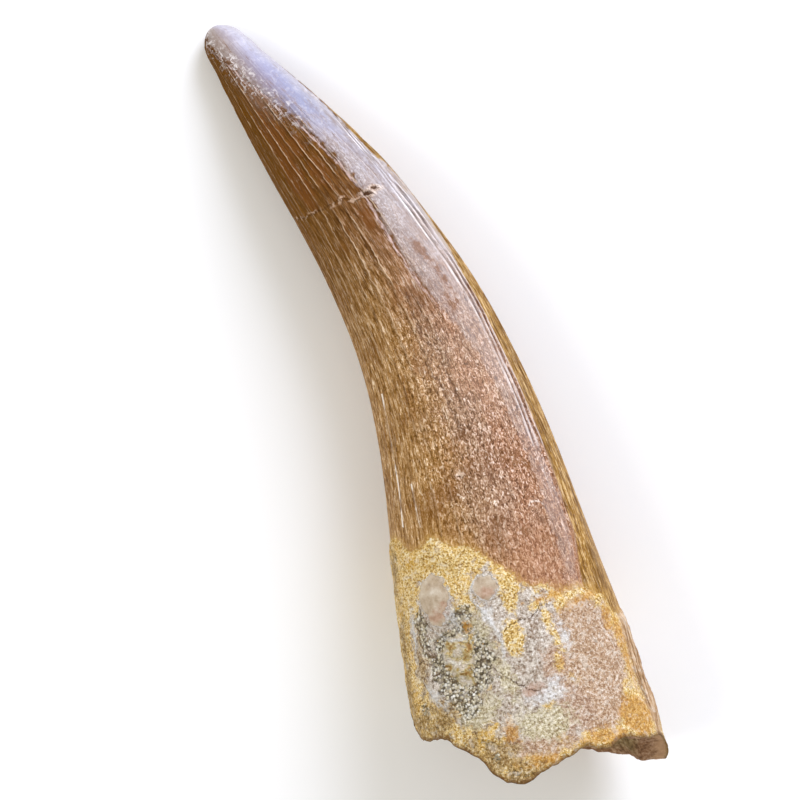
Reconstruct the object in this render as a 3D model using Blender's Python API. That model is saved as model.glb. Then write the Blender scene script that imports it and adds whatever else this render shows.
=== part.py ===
"""Fossil plesiosaur tooth, lying on its side on a flat surface.

One solid: a conical crown that bends over from its root, ribbed with enamel ridges, and a
root that is coated with cemented phosphate sand and broken off below, with the shallow open
end of the pulp cavity inside the break.

Frame: metres, +Z up. +Y runs from the broken root to the tip, +X is the outer side of the
bend, and the origin is under the middle of the tooth, on the surface it lies on. Lengths in
this file are millimetres until `surface_point` has placed them. Angles go round the tooth's
axis in degrees, from 0 at the outer side of the bend over 90 at the top.
"""

import math

import bmesh
import bpy
from mathutils import Vector, noise

MM = 0.001
NODE_NAME = "plesiosaur_tooth"

# The axis leaves the root leaning one way and bends smoothly over to the other.
ROOT_LEAN_DEG = 10.25
TIP_LEAN_DEG = -14.25
BEND_START = 15.0
BEND_END = 40.75
AXIS_BELOW = -4.0
TIP_ALONG = 49.2
AXIS_START = (-1.26, -23.06)
AXIS_STEP = 0.1

# (distance along the axis, half width across the bend)
HALF_WIDTHS = (
    (-4.0, 7.35), (0.0, 7.22), (8.0, 6.58), (16.0, 5.58), (24.0, 4.53),
    (32.0, 3.70), (38.0, 3.00), (42.0, 2.38), (46.0, 1.62), (49.2, 1.04),
)
TIP_CAP = 1.3
# (distance along the axis, height of the section as a share of its width)
DEPTH_SHARES = ((-4.0, 0.87), (8.0, 0.88), (24.0, 0.91), (49.2, 0.96))
# (distance along the axis, how far the underside would stand clear of the surface):
# what would go below it is worn or pressed flat, and carries the tooth as it lies.
UNDERSIDE = (
    (-4.0, -0.30), (5.0, -0.30), (12.0, -0.04), (30.0, -0.03), (40.0, -0.03),
    (45.0, -0.10), (49.2, -0.10),
)

# The crown turns a rounded corner where its polished outer face ends.
SHOULDER_DEG = ((8.0, 27.0), (18.0, 32.0), (26.0, 38.0), (34.0, 25.0), (40.0, 2.0))
SHOULDER_HEIGHT = 0.17
SHOULDER_SPREAD_DEG = 9.0
SHOULDER_START = (6.0, 12.0)
SHOULDER_END = (34.0, 42.0)
FACET_DEPTH = 0.10
FACET_SPREAD_DEG = 14.0
FACET_OFFSET_DEG = -24.0

# Enamel ridges: one every three columns of the mesh.
RIDGES = 28
COLUMNS_PER_RIDGE = 3
# (distance along the axis, ridge height)
RIDGE_HEIGHTS = ((11.0, 0.0), (16.0, 0.05), (30.0, 0.08), (42.0, 0.09), (48.0, 0.02))
GROOVE_SHARE = 0.5
POLISHED_DEG = 60.0
POLISHED_SPREAD_DEG = 40.0
POLISHED_SHARE = 0.35

# (angle, distance along the axis) of the upper edge of the root's coating
COATING_EDGE = (
    (-180, 15.2), (-130, 13.4), (-85, 12.0), (-40, 9.6), (0, 8.4), (25, 8.4), (28, 9.2),
    (38, 10.1), (58, 10.8), (77, 11.5), (89, 12.2), (99, 13.3), (114, 14.3), (125, 15.0),
    (145, 14.3), (162, 15.0), (180, 15.2),
)
COATING_THICKNESS = 0.10
COATING_FADE = 0.9
LUMP_HEIGHT = 0.16
LUMP_SIZE = 1.7
# Coarse sand fills a hollow in the coating.
SAND_HOLLOW_DEG = 121.0
SAND_HOLLOW_ALONG = 7.9
SAND_HOLLOW_RADIUS = 2.7
SAND_HOLLOW_DEPTH = 0.34
SAND_HOLLOW_FLAT = 0.6

# (angle, distance along the axis) of the broken edge of the root
BROKEN_EDGE = (
    (-180, 5.3), (-165, 5.6), (-148, 4.7), (-128, 3.2), (-110, 2.0), (-92, 1.3), (-76, 0.6),
    (-63, 0.1), (-52, -0.2), (-38, -0.55), (-23, -0.9), (-15, -1.0), (-8, -0.6), (0, 0.0),
    (12, 0.5), (24, 0.7), (35, 0.8), (47, 1.2), (53, 1.1), (59, 0.9), (65, 1.1), (70, 1.4),
    (77, 1.1), (85, 0.75), (93, 0.5), (100, 0.1), (107, 0.35), (114, 0.9), (119, 1.8),
    (125, 2.5), (132, 3.1), (139, 3.5), (159, 3.7), (170, 4.5), (180, 5.3),
)
EDGE_CHIPS = 0.15
ROOT_WALL = 1.35
ROOT_WALL_CHANGE = 0.45
# Rings inside the break: (further in than the wall's inner side, deeper than the edge)
CAVITY_WALL = ((0.0, 0.25), (0.35, 1.20), (0.95, 2.00))
# Rings of the cavity's floor: (share of the section's radius, deeper than the edge)
CAVITY_FLOOR = ((0.52, 2.40), (0.26, 2.70))
CAVITY_DEPTH = 2.8
FLOOR_LUMP = 0.35

# Rows of the mesh: over the rounded tip, down the crown to the coating's edge, down the
# coating to the broken edge, and inside the break to the middle of the cavity's floor.
CAP_ROWS = 5
CROWN_ROWS = 26
ROOT_ROWS = 10
INSIDE_ROWS = len(CAVITY_WALL) + len(CAVITY_FLOOR) + 1
OUTSIDE_ROWS = CAP_ROWS + CROWN_ROWS + ROOT_ROWS
ROWS = OUTSIDE_ROWS + INSIDE_ROWS
COLUMNS = RIDGES * COLUMNS_PER_RIDGE

# Materials: name, colour, roughness
ENAMEL = ("brown_enamel", (0.33, 0.19, 0.09, 1.0), 0.34)
COATING = ("sandy_coating", (0.60, 0.47, 0.29, 1.0), 0.85)
DENTINE = ("broken_dentine", (0.20, 0.12, 0.06, 1.0), 0.75)


def smooth_step(value, low, high):
    """0 below low, 1 above high, and a smooth rise between them."""
    share = min(1.0, max(0.0, (value - low) / (high - low)))
    return share * share * (3.0 - 2.0 * share)


def through(stations, where):
    """Value at `where` of the smooth curve through the (place, value) stations."""
    places = [place for place, _ in stations]
    values = [value for _, value in stations]
    last = len(stations) - 1
    where = min(max(where, places[0]), places[last])
    index = max(i for i in range(last) if places[i] <= where)

    def slope(i):
        before, after = max(i - 1, 0), min(i + 1, last)
        return (values[after] - values[before]) / (places[after] - places[before])

    gap = places[index + 1] - places[index]
    t = (where - places[index]) / gap
    start, end = slope(index) * gap, slope(index + 1) * gap
    return (
        values[index] * (2 * t**3 - 3 * t**2 + 1)
        + start * (t**3 - 2 * t**2 + t)
        + values[index + 1] * (3 * t**2 - 2 * t**3)
        + end * (t**3 - t**2)
    )


def bump(angle, centre, spread):
    """1 at the centre angle, falling off smoothly either side of it."""
    away = (angle - centre + 180.0) % 360.0 - 180.0
    return math.exp(-((away / spread) ** 2))


def wander(angle, reach, layer):
    """Repeatable smooth noise from -1 to 1 that meets itself round the tooth."""
    turn = math.radians(angle)
    return noise.noise(Vector((reach * math.cos(turn), reach * math.sin(turn), layer)))


def lean_at(along):
    """Direction of the axis in plan, in radians from +Y towards +X."""
    bent = smooth_step(along, BEND_START, BEND_END)
    return math.radians(ROOT_LEAN_DEG + (TIP_LEAN_DEG - ROOT_LEAN_DEG) * bent)


def trace_axis():
    """Plan position of the axis at every AXIS_STEP from AXIS_BELOW to the tip."""
    root_lean = lean_at(AXIS_BELOW)
    x = AXIS_START[0] + AXIS_BELOW * math.sin(root_lean)
    y = AXIS_START[1] + AXIS_BELOW * math.cos(root_lean)
    points = [(x, y)]
    for step in range(round((TIP_ALONG - AXIS_BELOW) / AXIS_STEP)):
        lean = lean_at(AXIS_BELOW + (step + 0.5) * AXIS_STEP)
        x += AXIS_STEP * math.sin(lean)
        y += AXIS_STEP * math.cos(lean)
        points.append((x, y))
    return points


AXIS = trace_axis()


def axis_at(along):
    """Plan position of the axis at a distance along it."""
    steps = (along - AXIS_BELOW) / AXIS_STEP
    index = min(max(int(steps), 0), len(AXIS) - 2)
    share = steps - index
    (x0, y0), (x1, y1) = AXIS[index], AXIS[index + 1]
    return x0 + (x1 - x0) * share, y0 + (y1 - y0) * share


def surface_point(angle, along, relief=0.0, share=1.0):
    """A point of the section at `along`, in metres.

    The relief is added to the section's radius, and the share scales it about the axis.
    """
    body = through(HALF_WIDTHS, along)
    closing = max(0.0, (along - TIP_ALONG + TIP_CAP) / TIP_CAP)
    radius = body * math.sqrt(max(0.0, 1.0 - closing * closing))
    radius = share * max(0.0, radius + relief) if radius > 0.0 else 0.0
    depth_share = through(DEPTH_SHARES, along)
    height = body * depth_share + through(UNDERSIDE, along)
    turn, lean = math.radians(angle), lean_at(along)
    across = radius * math.cos(turn)
    x, y = axis_at(along)
    return Vector((
        x + across * math.cos(lean),
        y - across * math.sin(lean),
        max(0.0, height + radius * depth_share * math.sin(turn)),
    )) * MM


def ridge_relief(angle, along, column):
    """Height of the enamel ridges, whose crests are every third column of the mesh."""
    polished = bump(angle, POLISHED_DEG, POLISHED_SPREAD_DEG)
    height = through(RIDGE_HEIGHTS, along) * (1.0 - (1.0 - POLISHED_SHARE) * polished)
    return height if column % COLUMNS_PER_RIDGE == 0 else -GROOVE_SHARE * height


def shoulder_relief(angle, along):
    """The rounded corner at the end of the polished face, and the flatter face beyond it."""
    centre = through(SHOULDER_DEG, along)
    size = smooth_step(along, *SHOULDER_START) * (1.0 - smooth_step(along, *SHOULDER_END))
    corner = SHOULDER_HEIGHT * bump(angle, centre, SHOULDER_SPREAD_DEG)
    facet = FACET_DEPTH * bump(angle, centre + FACET_OFFSET_DEG, FACET_SPREAD_DEG)
    return size * (corner - facet)


def coating_edge(angle):
    """Distance along the axis at which the root's coating begins."""
    return through(COATING_EDGE, angle)


def coating_relief(angle, along):
    """The sandy coating of the root: its thickness, its lumps and the hollow in it."""
    edge = coating_edge(angle)
    coated = 1.0 - smooth_step(along, edge - COATING_FADE, edge)
    radius = through(HALF_WIDTHS, along)
    lumps = wander(angle, radius / LUMP_SIZE, along / LUMP_SIZE)
    across = math.radians(angle - SAND_HOLLOW_DEG) * radius
    away = math.hypot(across, along - SAND_HOLLOW_ALONG) / SAND_HOLLOW_RADIUS
    hollow = SAND_HOLLOW_DEPTH * (1.0 - smooth_step(away, SAND_HOLLOW_FLAT, 1.0))
    return coated * (COATING_THICKNESS + LUMP_HEIGHT * lumps - hollow)


def broken_edge(angle):
    """Distance along the axis at which the root breaks off."""
    return through(BROKEN_EDGE, angle) + EDGE_CHIPS * wander(angle, 4.0, 9.0)


def outside_along(angle, row):
    """Distance along the axis of a row of the outer surface, counted from the tip."""
    crown_start = TIP_ALONG - TIP_CAP
    if row <= CAP_ROWS:
        return crown_start + TIP_CAP * math.cos(math.pi / 2 * row / CAP_ROWS)
    if row <= CAP_ROWS + CROWN_ROWS:
        share = (row - CAP_ROWS) / CROWN_ROWS
        return crown_start + (coating_edge(angle) - crown_start) * share
    share = (row - CAP_ROWS - CROWN_ROWS) / ROOT_ROWS
    return coating_edge(angle) + (broken_edge(angle) - coating_edge(angle)) * share


def outside_point(angle, row, column):
    """A point of the outer surface."""
    along = outside_along(angle, row)
    relief = ridge_relief(angle, along, column)
    relief += shoulder_relief(angle, along)
    relief += coating_relief(angle, along)
    return surface_point(angle, along, relief)


def inside_point(angle, row):
    """A point inside the break, in a row counted from the broken edge."""
    edge = broken_edge(angle)
    roughness = wander(angle, 3.0, 1.7 * row)
    if row < len(CAVITY_WALL):
        further_in, deeper = CAVITY_WALL[row]
        wall = ROOT_WALL + ROOT_WALL_CHANGE * roughness + further_in
        return surface_point(angle, edge + deeper, relief=-wall)
    share, deeper = CAVITY_FLOOR[row - len(CAVITY_WALL)]
    middle = middle_of_break()
    along = middle + (edge - middle) * share + deeper + FLOOR_LUMP * roughness
    return surface_point(angle, along, share=share)


def middle_of_break():
    """Mean distance along the axis of the broken edge."""
    return sum(along for _, along in BROKEN_EDGE) / len(BROKEN_EDGE)


def place_on_sphere(point):
    """Angle round the tooth and row, in fractions, of a point of the starting sphere."""
    angle = math.degrees(math.atan2(point.y, point.x))
    polar = math.acos(min(1.0, max(-1.0, point.z / point.length)))
    return angle, polar / math.pi * ROWS


def dress_faces(mesh):
    """Gives each face of the starting sphere its material by its row."""
    for face in mesh.faces:
        face.smooth = True
        _, row = place_on_sphere(face.calc_center_median())
        face.material_index = sum(row > last for last in (CAP_ROWS + CROWN_ROWS, OUTSIDE_ROWS))


def shape_tooth(mesh):
    """Moves the rows of a sphere onto the tooth, from its tip to the cavity's floor."""
    for vertex in mesh.verts:
        angle, row = place_on_sphere(vertex.co)
        row = round(row)
        column = round(angle / 360.0 * COLUMNS) % COLUMNS
        if row == 0:
            vertex.co = surface_point(0.0, TIP_ALONG)
        elif row == ROWS:
            vertex.co = surface_point(0.0, middle_of_break() + CAVITY_DEPTH, share=0.0)
        elif row <= OUTSIDE_ROWS:
            vertex.co = outside_point(angle, row, column)
        else:
            vertex.co = inside_point(angle, row - OUTSIDE_ROWS - 1)
    bmesh.ops.recalc_face_normals(mesh, faces=mesh.faces)


def make_material(name, colour, roughness):
    """A plain material with the finish's colour and roughness."""
    material = bpy.data.materials.new(name)
    material.use_nodes = True
    shader = material.node_tree.nodes["Principled BSDF"]
    shader.inputs["Base Color"].default_value = colour
    shader.inputs["Roughness"].default_value = roughness
    shader.inputs["Metallic"].default_value = 0.0
    return material


def make_tooth():
    """The whole tooth as one closed body."""
    mesh = bpy.data.meshes.new(NODE_NAME)
    for finish in (ENAMEL, COATING, DENTINE):
        mesh.materials.append(make_material(*finish))
    working = bmesh.new()
    bmesh.ops.create_uvsphere(working, u_segments=COLUMNS, v_segments=ROWS, radius=1.0)
    dress_faces(working)
    shape_tooth(working)
    working.to_mesh(mesh)
    working.free()
    tooth = bpy.data.objects.new(NODE_NAME, mesh)
    bpy.context.scene.collection.objects.link(tooth)


def main():
    """Clears the scene and makes the tooth in it."""
    for thing in list(bpy.data.objects):
        bpy.data.objects.remove(thing, do_unlink=True)
    make_tooth()


if __name__ == "__main__":
    main()
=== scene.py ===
"""Finish and studio for a fossil plesiosaur tooth that lies on its side.

The tooth is one piece of fossil: ribbed brown enamel on the crown, and a root that is coated
with cemented phosphate sand and broken off below. The fine surface here stands for the plain
solid `plesiosaur_tooth` and keeps to its sizes. Loose-looking coarse grains are a joined mesh
of their own on the coating.

Lengths are millimetres until a mesh is written, which is in metres. Angles go round the
tooth's axis in degrees, from 0 at the outer side of the bend over 90 at the top, and
`along` is the distance along the axis, from the broken root to the tip.
"""

import logging
import math
import random
from dataclasses import dataclass, field
from enum import Enum
from functools import cached_property
from typing import Any

import bmesh
import bpy
import numpy as np
from mathutils import Matrix, Vector, noise


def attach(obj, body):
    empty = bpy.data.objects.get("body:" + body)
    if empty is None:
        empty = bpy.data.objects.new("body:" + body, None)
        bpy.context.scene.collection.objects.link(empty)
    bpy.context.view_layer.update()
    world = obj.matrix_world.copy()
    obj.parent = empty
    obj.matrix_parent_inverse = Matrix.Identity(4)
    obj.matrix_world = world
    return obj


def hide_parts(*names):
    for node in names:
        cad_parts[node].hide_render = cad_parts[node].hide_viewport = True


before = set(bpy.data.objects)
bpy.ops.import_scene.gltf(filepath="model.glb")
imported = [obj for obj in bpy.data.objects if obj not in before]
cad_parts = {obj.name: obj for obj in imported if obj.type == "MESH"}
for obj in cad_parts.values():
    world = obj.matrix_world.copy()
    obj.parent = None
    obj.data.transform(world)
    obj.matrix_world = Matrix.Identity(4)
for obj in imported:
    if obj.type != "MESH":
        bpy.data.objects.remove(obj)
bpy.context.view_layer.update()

LOG = logging.getLogger("plesiosaur_tooth")
NODE = "plesiosaur_tooth"
MM = 0.001
# Millimetres: a mark far from every line, how near a line has to be to count, and the least mark.
FAR, NEAR, LEAST = 60.0, 0.6, -9.0
Stations = tuple[tuple[float, float], ...]
Stops = tuple[tuple[float, str], ...]


# --- small mathematics -----------------------------------------------------------------------


def smooth_step(value: np.ndarray, low: Any, high: Any) -> np.ndarray:
    """A smooth rise from 0 at low to 1 at high."""
    share = np.clip((value - low) / (high - low), 0.0, 1.0)
    return share * share * (3.0 - 2.0 * share)


def through(stations: Stations, where: np.ndarray) -> np.ndarray:
    """The smooth curve through some stations.

    Args:
        stations: (place, value) pairs in rising order of place.
        where: the places to read it at.

    Returns:
        The values there; past the ends, the end values.
    """
    places, values = np.array(stations, float).T
    last = len(places) - 1
    where = np.clip(np.asarray(where, float), places[0], places[last])
    before, after = np.maximum(np.arange(last + 1) - 1, 0), np.minimum(np.arange(last + 1) + 1, last)
    slopes = (values[after] - values[before]) / (places[after] - places[before])
    index = np.clip(np.searchsorted(places, where, side="right") - 1, 0, last - 1)
    gap = places[index + 1] - places[index]
    t = (where - places[index]) / gap
    return (
        values[index] * (2 * t**3 - 3 * t**2 + 1)
        + slopes[index] * gap * (t**3 - 2 * t**2 + t)
        + values[index + 1] * (3 * t**2 - 2 * t**3)
        + slopes[index + 1] * gap * (t**3 - t**2)
    )


def turned(angle: Any) -> Any:
    """An angle brought into -180 to 180 degrees."""
    return (angle + 180.0) % 360.0 - 180.0


def hump(away: np.ndarray, spread: float) -> np.ndarray:
    """A smooth hump, 1 in its middle and about a third where it is a spread away."""
    return np.exp(-((away / spread) ** 2))


def clouds(points: np.ndarray, size: float, layer: float = 0.0) -> np.ndarray:
    """Smooth noise, about -1 to 1, that changes over a size; each layer is a different one."""
    shifted = points / size + np.array((0.0, 0.0, layer))
    return np.array([noise.noise(point) for point in shifted.tolist()])


def ring_clouds(angle: np.ndarray, reach: Any, layer: Any) -> np.ndarray:
    """Smooth noise that meets itself round the tooth, the same as in the solid.

    Args:
        angle: degrees round the tooth.
        reach: radius of the circle that is read from the noise.
        layer: height at which it is read.

    Returns:
        Values from about -1 to 1.
    """
    turn = np.radians(angle)
    ones = np.ones_like(turn)
    return clouds(np.stack([reach * np.cos(turn), reach * np.sin(turn), layer * ones], 1), 1.0)


# --- the form of the tooth -------------------------------------------------------------------


@dataclass(frozen=True)
class ToothForm:
    """The smooth body: a bent axis with an oval section that tapers to a blunt tip."""

    root_lean_deg: float = 10.25
    tip_lean_deg: float = -14.25
    bend_start: float = 15.0
    bend_end: float = 40.75
    axis_below: float = -4.0
    tip_along: float = 49.2
    tip_cap: float = 1.3
    axis_start: tuple[float, float] = (-1.26, -23.06)
    axis_step: float = 0.05
    half_widths: Stations = (
        (-4.0, 7.35), (0.0, 7.22), (8.0, 6.58), (16.0, 5.58), (24.0, 4.53),
        (32.0, 3.70), (38.0, 3.00), (42.0, 2.38), (46.0, 1.62), (49.2, 1.04),
    )
    depth_shares: Stations = ((-4.0, 0.87), (8.0, 0.88), (24.0, 0.91), (49.2, 0.96))
    underside: Stations = (
        (-4.0, -0.30), (5.0, -0.30), (12.0, -0.04), (30.0, -0.03), (40.0, -0.03),
        (45.0, -0.10), (49.2, -0.10),
    )

    def lean(self, along: np.ndarray) -> np.ndarray:
        """Direction of the axis in plan, in radians from +Y towards +X."""
        bent = smooth_step(np.asarray(along, float), self.bend_start, self.bend_end)
        return np.radians(self.root_lean_deg + (self.tip_lean_deg - self.root_lean_deg) * bent)

    def axis(self, along: np.ndarray) -> tuple[np.ndarray, np.ndarray]:
        """Plan position of the axis.

        Args:
            along: distances along it.

        Returns:
            The x and y there.
        """
        steps = round((self.tip_along - self.axis_below) / self.axis_step)
        stops = self.axis_below + self.axis_step * np.arange(steps + 1)
        middles = self.lean(stops[:-1] + self.axis_step / 2)
        root = self.lean(np.array(self.axis_below))
        x = self.axis_start[0] + self.axis_below * math.sin(root)
        y = self.axis_start[1] + self.axis_below * math.cos(root)
        xs = x + self.axis_step * np.concatenate([[0.0], np.cumsum(np.sin(middles))])
        ys = y + self.axis_step * np.concatenate([[0.0], np.cumsum(np.cos(middles))])
        return np.interp(along, stops, xs), np.interp(along, stops, ys)

    def width(self, along: np.ndarray) -> np.ndarray:
        """Half width of the section across the bend, before it closes over the tip."""
        return through(self.half_widths, along)

    def radius(self, along: np.ndarray) -> np.ndarray:
        """Half width of the section across the bend, closing round over the tip."""
        closing = np.maximum(0.0, (along - self.tip_along + self.tip_cap) / self.tip_cap)
        return self.width(along) * np.sqrt(np.maximum(0.0, 1.0 - closing**2))

    def place(self, angle: np.ndarray, along: np.ndarray, radius: np.ndarray) -> np.ndarray:
        """Points round the axis.

        Args:
            angle: degrees round it.
            along: distance along it.
            radius: distance from it, as measured across the bend.

        Returns:
            One row of x, y and z a point, never below the surface that the tooth lies on.
        """
        shares = through(self.depth_shares, along)
        height = self.width(along) * shares + through(self.underside, along)
        turn, lean = np.radians(angle), self.lean(along)
        across = radius * np.cos(turn)
        x, y = self.axis(along)
        z = np.maximum(0.0, height + radius * shares * np.sin(turn))
        return np.stack([x + across * np.cos(lean), y - across * np.sin(lean), z], 1)


@dataclass(frozen=True)
class Patch:
    """An oval patch on the surface, with a ragged edge that a finish gives it.

    The angle and along are its centre, half_around and half_along its half sizes in
    millimetres, and turn_deg leans its long side from the tooth's axis.
    """

    angle: float
    along: float
    half_around: float
    half_along: float
    turn_deg: float = 0.0

    def depth(self, angle: np.ndarray, along: np.ndarray, form: ToothForm) -> np.ndarray:
        """How far inside the patch each place is.

        Args:
            angle: degrees round the tooth.
            along: distance along it.
            form: the body that the patch lies on.

        Returns:
            Millimetres inside the edge, negative outside it.
        """
        around = np.radians(turned(angle - self.angle)) * form.width(along)
        further = along - self.along
        turn = math.radians(self.turn_deg)
        across = around * math.cos(turn) + further * math.sin(turn)
        length = further * math.cos(turn) - around * math.sin(turn)
        size = np.hypot(across / self.half_around, length / self.half_along)
        return (1.0 - size) * min(self.half_around, self.half_along)


def deepest(
    patches: tuple[Patch, ...], angle: np.ndarray, along: np.ndarray, form: ToothForm
) -> np.ndarray:
    """Millimetres inside the nearest of several patches, negative outside every one."""
    return np.max([patch.depth(angle, along, form) for patch in patches], axis=0)


@dataclass(frozen=True)
class Course:
    """A thin line on the surface.

    The stations are (angle, along) pairs for a line that runs across the tooth, and
    (along, angle) pairs for one that runs along it.
    """

    stations: Stations
    across: bool = False

    def away(self, angle: np.ndarray, along: np.ndarray, form: ToothForm) -> np.ndarray:
        """Distance from the line, negative on one side of it.

        Args:
            angle: degrees round the tooth.
            along: distance along it.
            form: the body that the line lies on.

        Returns:
            Millimetres from the line, or FAR past its ends.
        """
        place = turned(angle) if self.across else along
        if self.across:
            away = along - through(self.stations, place)
        else:
            away = np.radians(turned(angle - through(self.stations, place))) * form.width(along)
        past = (place < self.stations[0][0]) | (place > self.stations[-1][0])
        return np.where(past, FAR, away)


def nearest(
    courses: tuple[Course, ...], angle: np.ndarray, along: np.ndarray, form: ToothForm
) -> np.ndarray:
    """Distance from the nearest of several lines, negative on one side of it.

    Args:
        courses: the lines.
        angle: degrees round the tooth.
        along: distance along it.
        form: the body that they lie on.

    Returns:
        Millimetres, or FAR where no line is near.
    """
    away = np.array([course.away(angle, along, form) for course in courses])
    away = np.take_along_axis(away, np.argmin(np.abs(away), axis=0)[None], axis=0)[0]
    return np.where(np.abs(away) > NEAR, FAR, away)


@dataclass(frozen=True)
class Skin:
    """Places on the outer surface, with all that the reliefs and finishes need there."""

    form: ToothForm
    angle: np.ndarray
    along: np.ndarray
    points: np.ndarray

    @classmethod
    def at(cls, form: ToothForm, angle: np.ndarray, along: np.ndarray) -> "Skin":
        """The skin of a form at some angles and distances along it."""
        return cls(form, angle, along, form.place(angle, along, form.radius(along)))


@dataclass(frozen=True)
class Crown:
    """The enamel crown: ridges, a rounded shoulder, a crack across it, chips and a worn tip."""

    ridges: int = 30
    ridge_heights: Stations = (
        (10.0, 0.0), (14.0, 0.03), (22.0, 0.045), (32.0, 0.065), (42.0, 0.080), (46.0, 0.05),
        (48.0, 0.0),
    )
    ridge_half_width: float = 0.15
    ridge_mean: float = 0.27  # taken off, so that ridges don't thicken the crown
    ridge_sway: float = 0.35
    ridge_wiggle: float = 0.10
    # Ridges fade in and out, and every other one ends before the tip.
    ridge_presence: float = 0.72
    ridge_fading: float = 0.9
    short_ridge_end: float = 41.0
    short_ridge_spread: float = 2.0
    short_ridge_fade: float = 3.0
    between_height: float = 0.018
    shoulder_deg: Stations = ((8.0, 27.0), (18.0, 32.0), (26.0, 38.0), (34.0, 25.0), (40.0, 2.0))
    shoulder_height: float = 0.17
    shoulder_spread_deg: float = 9.0
    shoulder_start: tuple[float, float] = (6.0, 12.0)
    shoulder_end: tuple[float, float] = (34.0, 42.0)
    facet_depth: float = 0.10
    facet_spread_deg: float = 14.0
    facet_offset_deg: float = -24.0
    # The border of the golden side, beside the corner, and fine lines along it, in
    # millimetres from it towards the top.
    border_deg: Stations = (
        (8.0, 47.0), (10.7, 46.0), (13.4, 40.0), (16.5, 40.0), (21.0, 40.0), (25.0, 39.5),
        (30.0, 37.5), (34.0, 36.5), (36.0, 32.0), (38.6, 25.0), (41.0, 12.0), (44.0, -4.0),
    )
    lips: tuple[float, ...] = (0.30, 0.02, -0.27)
    grooves: tuple[float, ...] = (0.16, -0.13)
    lip_height: float = 0.035
    lip_half_width: float = 0.08
    line_sway: float = 0.10
    # The worn and polished face, with a painted sheen, between two angles at each place along the tooth.
    worn_to_deg: Stations = (
        (8.0, 57.0), (13.4, 52.0), (18.0, 52.0), (24.0, 57.0), (28.0, 70.0), (31.0, 76.0), (33.5, 74.0),
        (35.5, 70.0), (37.5, 70.0), (39.4, 72.0), (41.0, 76.0), (43.5, 88.0), (45.5, 101.0), (47.0, 113.0),
        (49.2, 150.0),
    )
    worn_from_deg: Stations = (
        (8.0, 46.0), (10.7, 45.0), (13.4, 39.0), (25.0, 38.5), (28.0, 35.0), (31.0, 22.0), (34.0, 13.0),
        (38.0, 20.0), (42.0, 8.0), (46.0, -10.0), (49.2, -60.0),
    )
    worn_strength: Stations = (
        (9.0, 0.0), (13.0, 0.25), (24.0, 0.30), (28.0, 0.50), (31.0, 0.70), (35.0, 0.95), (38.0, 1.0),
    )
    ridge_worn_share: float = 0.06
    swelling: float = 0.05
    swelling_size: float = 5.0
    crack: Course = Course(
        (
            (-180.0, 36.9), (-90.0, 36.0), (0.0, 35.2), (42.0, 35.5), (56.0, 35.3), (69.0, 35.5),
            (82.0, 35.5), (91.0, 36.0), (106.0, 36.2), (127.0, 36.4), (155.0, 36.7), (180.0, 36.9),
        ),
        across=True,
    )
    crack_sway: float = 0.13
    crack_depth: float = 0.015
    crack_half_width: float = 0.09
    chips: tuple[Patch, ...] = (
        Patch(68.5, 35.50, 0.34, 0.14, 26.0),
        Patch(57.0, 35.52, 0.28, 0.10, 28.0),
        Patch(99.0, 18.2, 0.17, 0.09, 0.0),
    )
    # Greyish weathered enamel, and places that are stained amber to rust brown.
    weathered: tuple[Patch, ...] = (
        Patch(84.0, 26.5, 0.9, 3.2, 4.0), Patch(85.0, 21.0, 1.3, 2.6, -5.0), Patch(86.0, 16.5, 1.8, 2.8),
        Patch(62.0, 25.3, 0.8, 1.4), Patch(47.0, 27.0, 0.6, 1.6), Patch(50.0, 21.5, 0.8, 1.6),
        Patch(118.0, 21.6, 0.3, 0.4), Patch(58.0, 15.1, 0.6, 0.7), Patch(50.0, 13.0, 0.4, 1.6),
        Patch(-140.0, 20.0, 1.0, 3.0), Patch(-60.0, 24.0, 1.0, 3.5),
    )
    stained: tuple[Patch, ...] = (
        Patch(94.0, 38.3, 0.55, 1.3), Patch(99.0, 40.2, 0.50, 0.9), Patch(128.0, 40.0, 0.4, 1.0),
        Patch(58.0, 31.1, 0.38, 1.10, -6.0), Patch(54.0, 29.3, 0.32, 0.7, -8.0),
        Patch(60.0, 27.6, 0.25, 0.8), Patch(53.0, 28.0, 0.2, 0.5), Patch(23.0, 32.0, 0.3, 0.5),
        Patch(125.0, 38.6, 0.7, 2.2), Patch(84.0, 34.3, 0.5, 0.8), Patch(-100.0, 33.0, 0.8, 3.0),
        Patch(60.0, 35.7, 0.35, 0.35), Patch(118.0, 41.3, 0.7, 2.0),
    )
    bright_lines: tuple[Course, ...] = (
        Course(((15.8, 149.0), (18.0, 148.0), (20.8, 148.5), (23.7, 147.0), (24.6, 146.0))),
        Course(((15.8, 132.7), (17.2, 133.6), (18.5, 134.5))),
        Course(((52.0, 15.4), (54.5, 15.65), (58.5, 15.75), (61.5, 15.65), (64.5, 15.3)), across=True),
    )
    # Dark scratches low on the worn face.
    scratches: tuple[Course, ...] = (
        Course(((20.2, 88.0), (21.2, 91.0), (22.3, 93.0), (23.5, 93.0), (24.6, 97.0), (25.6, 98.0))),
        Course(((24.6, 81.0), (25.3, 80.0), (26.1, 82.0), (27.3, 86.0), (28.6, 84.0), (30.4, 79.5))),
        Course(((22.0, 84.0), (23.6, 86.5), (25.2, 88.0), (26.6, 93.0), (28.0, 92.0), (29.6, 88.5))),
    )
    chip_depth: float = 0.13
    chip_rag: float = 0.04
    tip_wear: float = 0.07
    tip_wear_size: float = 0.9
    tip_wear_start: tuple[float, float] = (44.5, 47.5)

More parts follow.
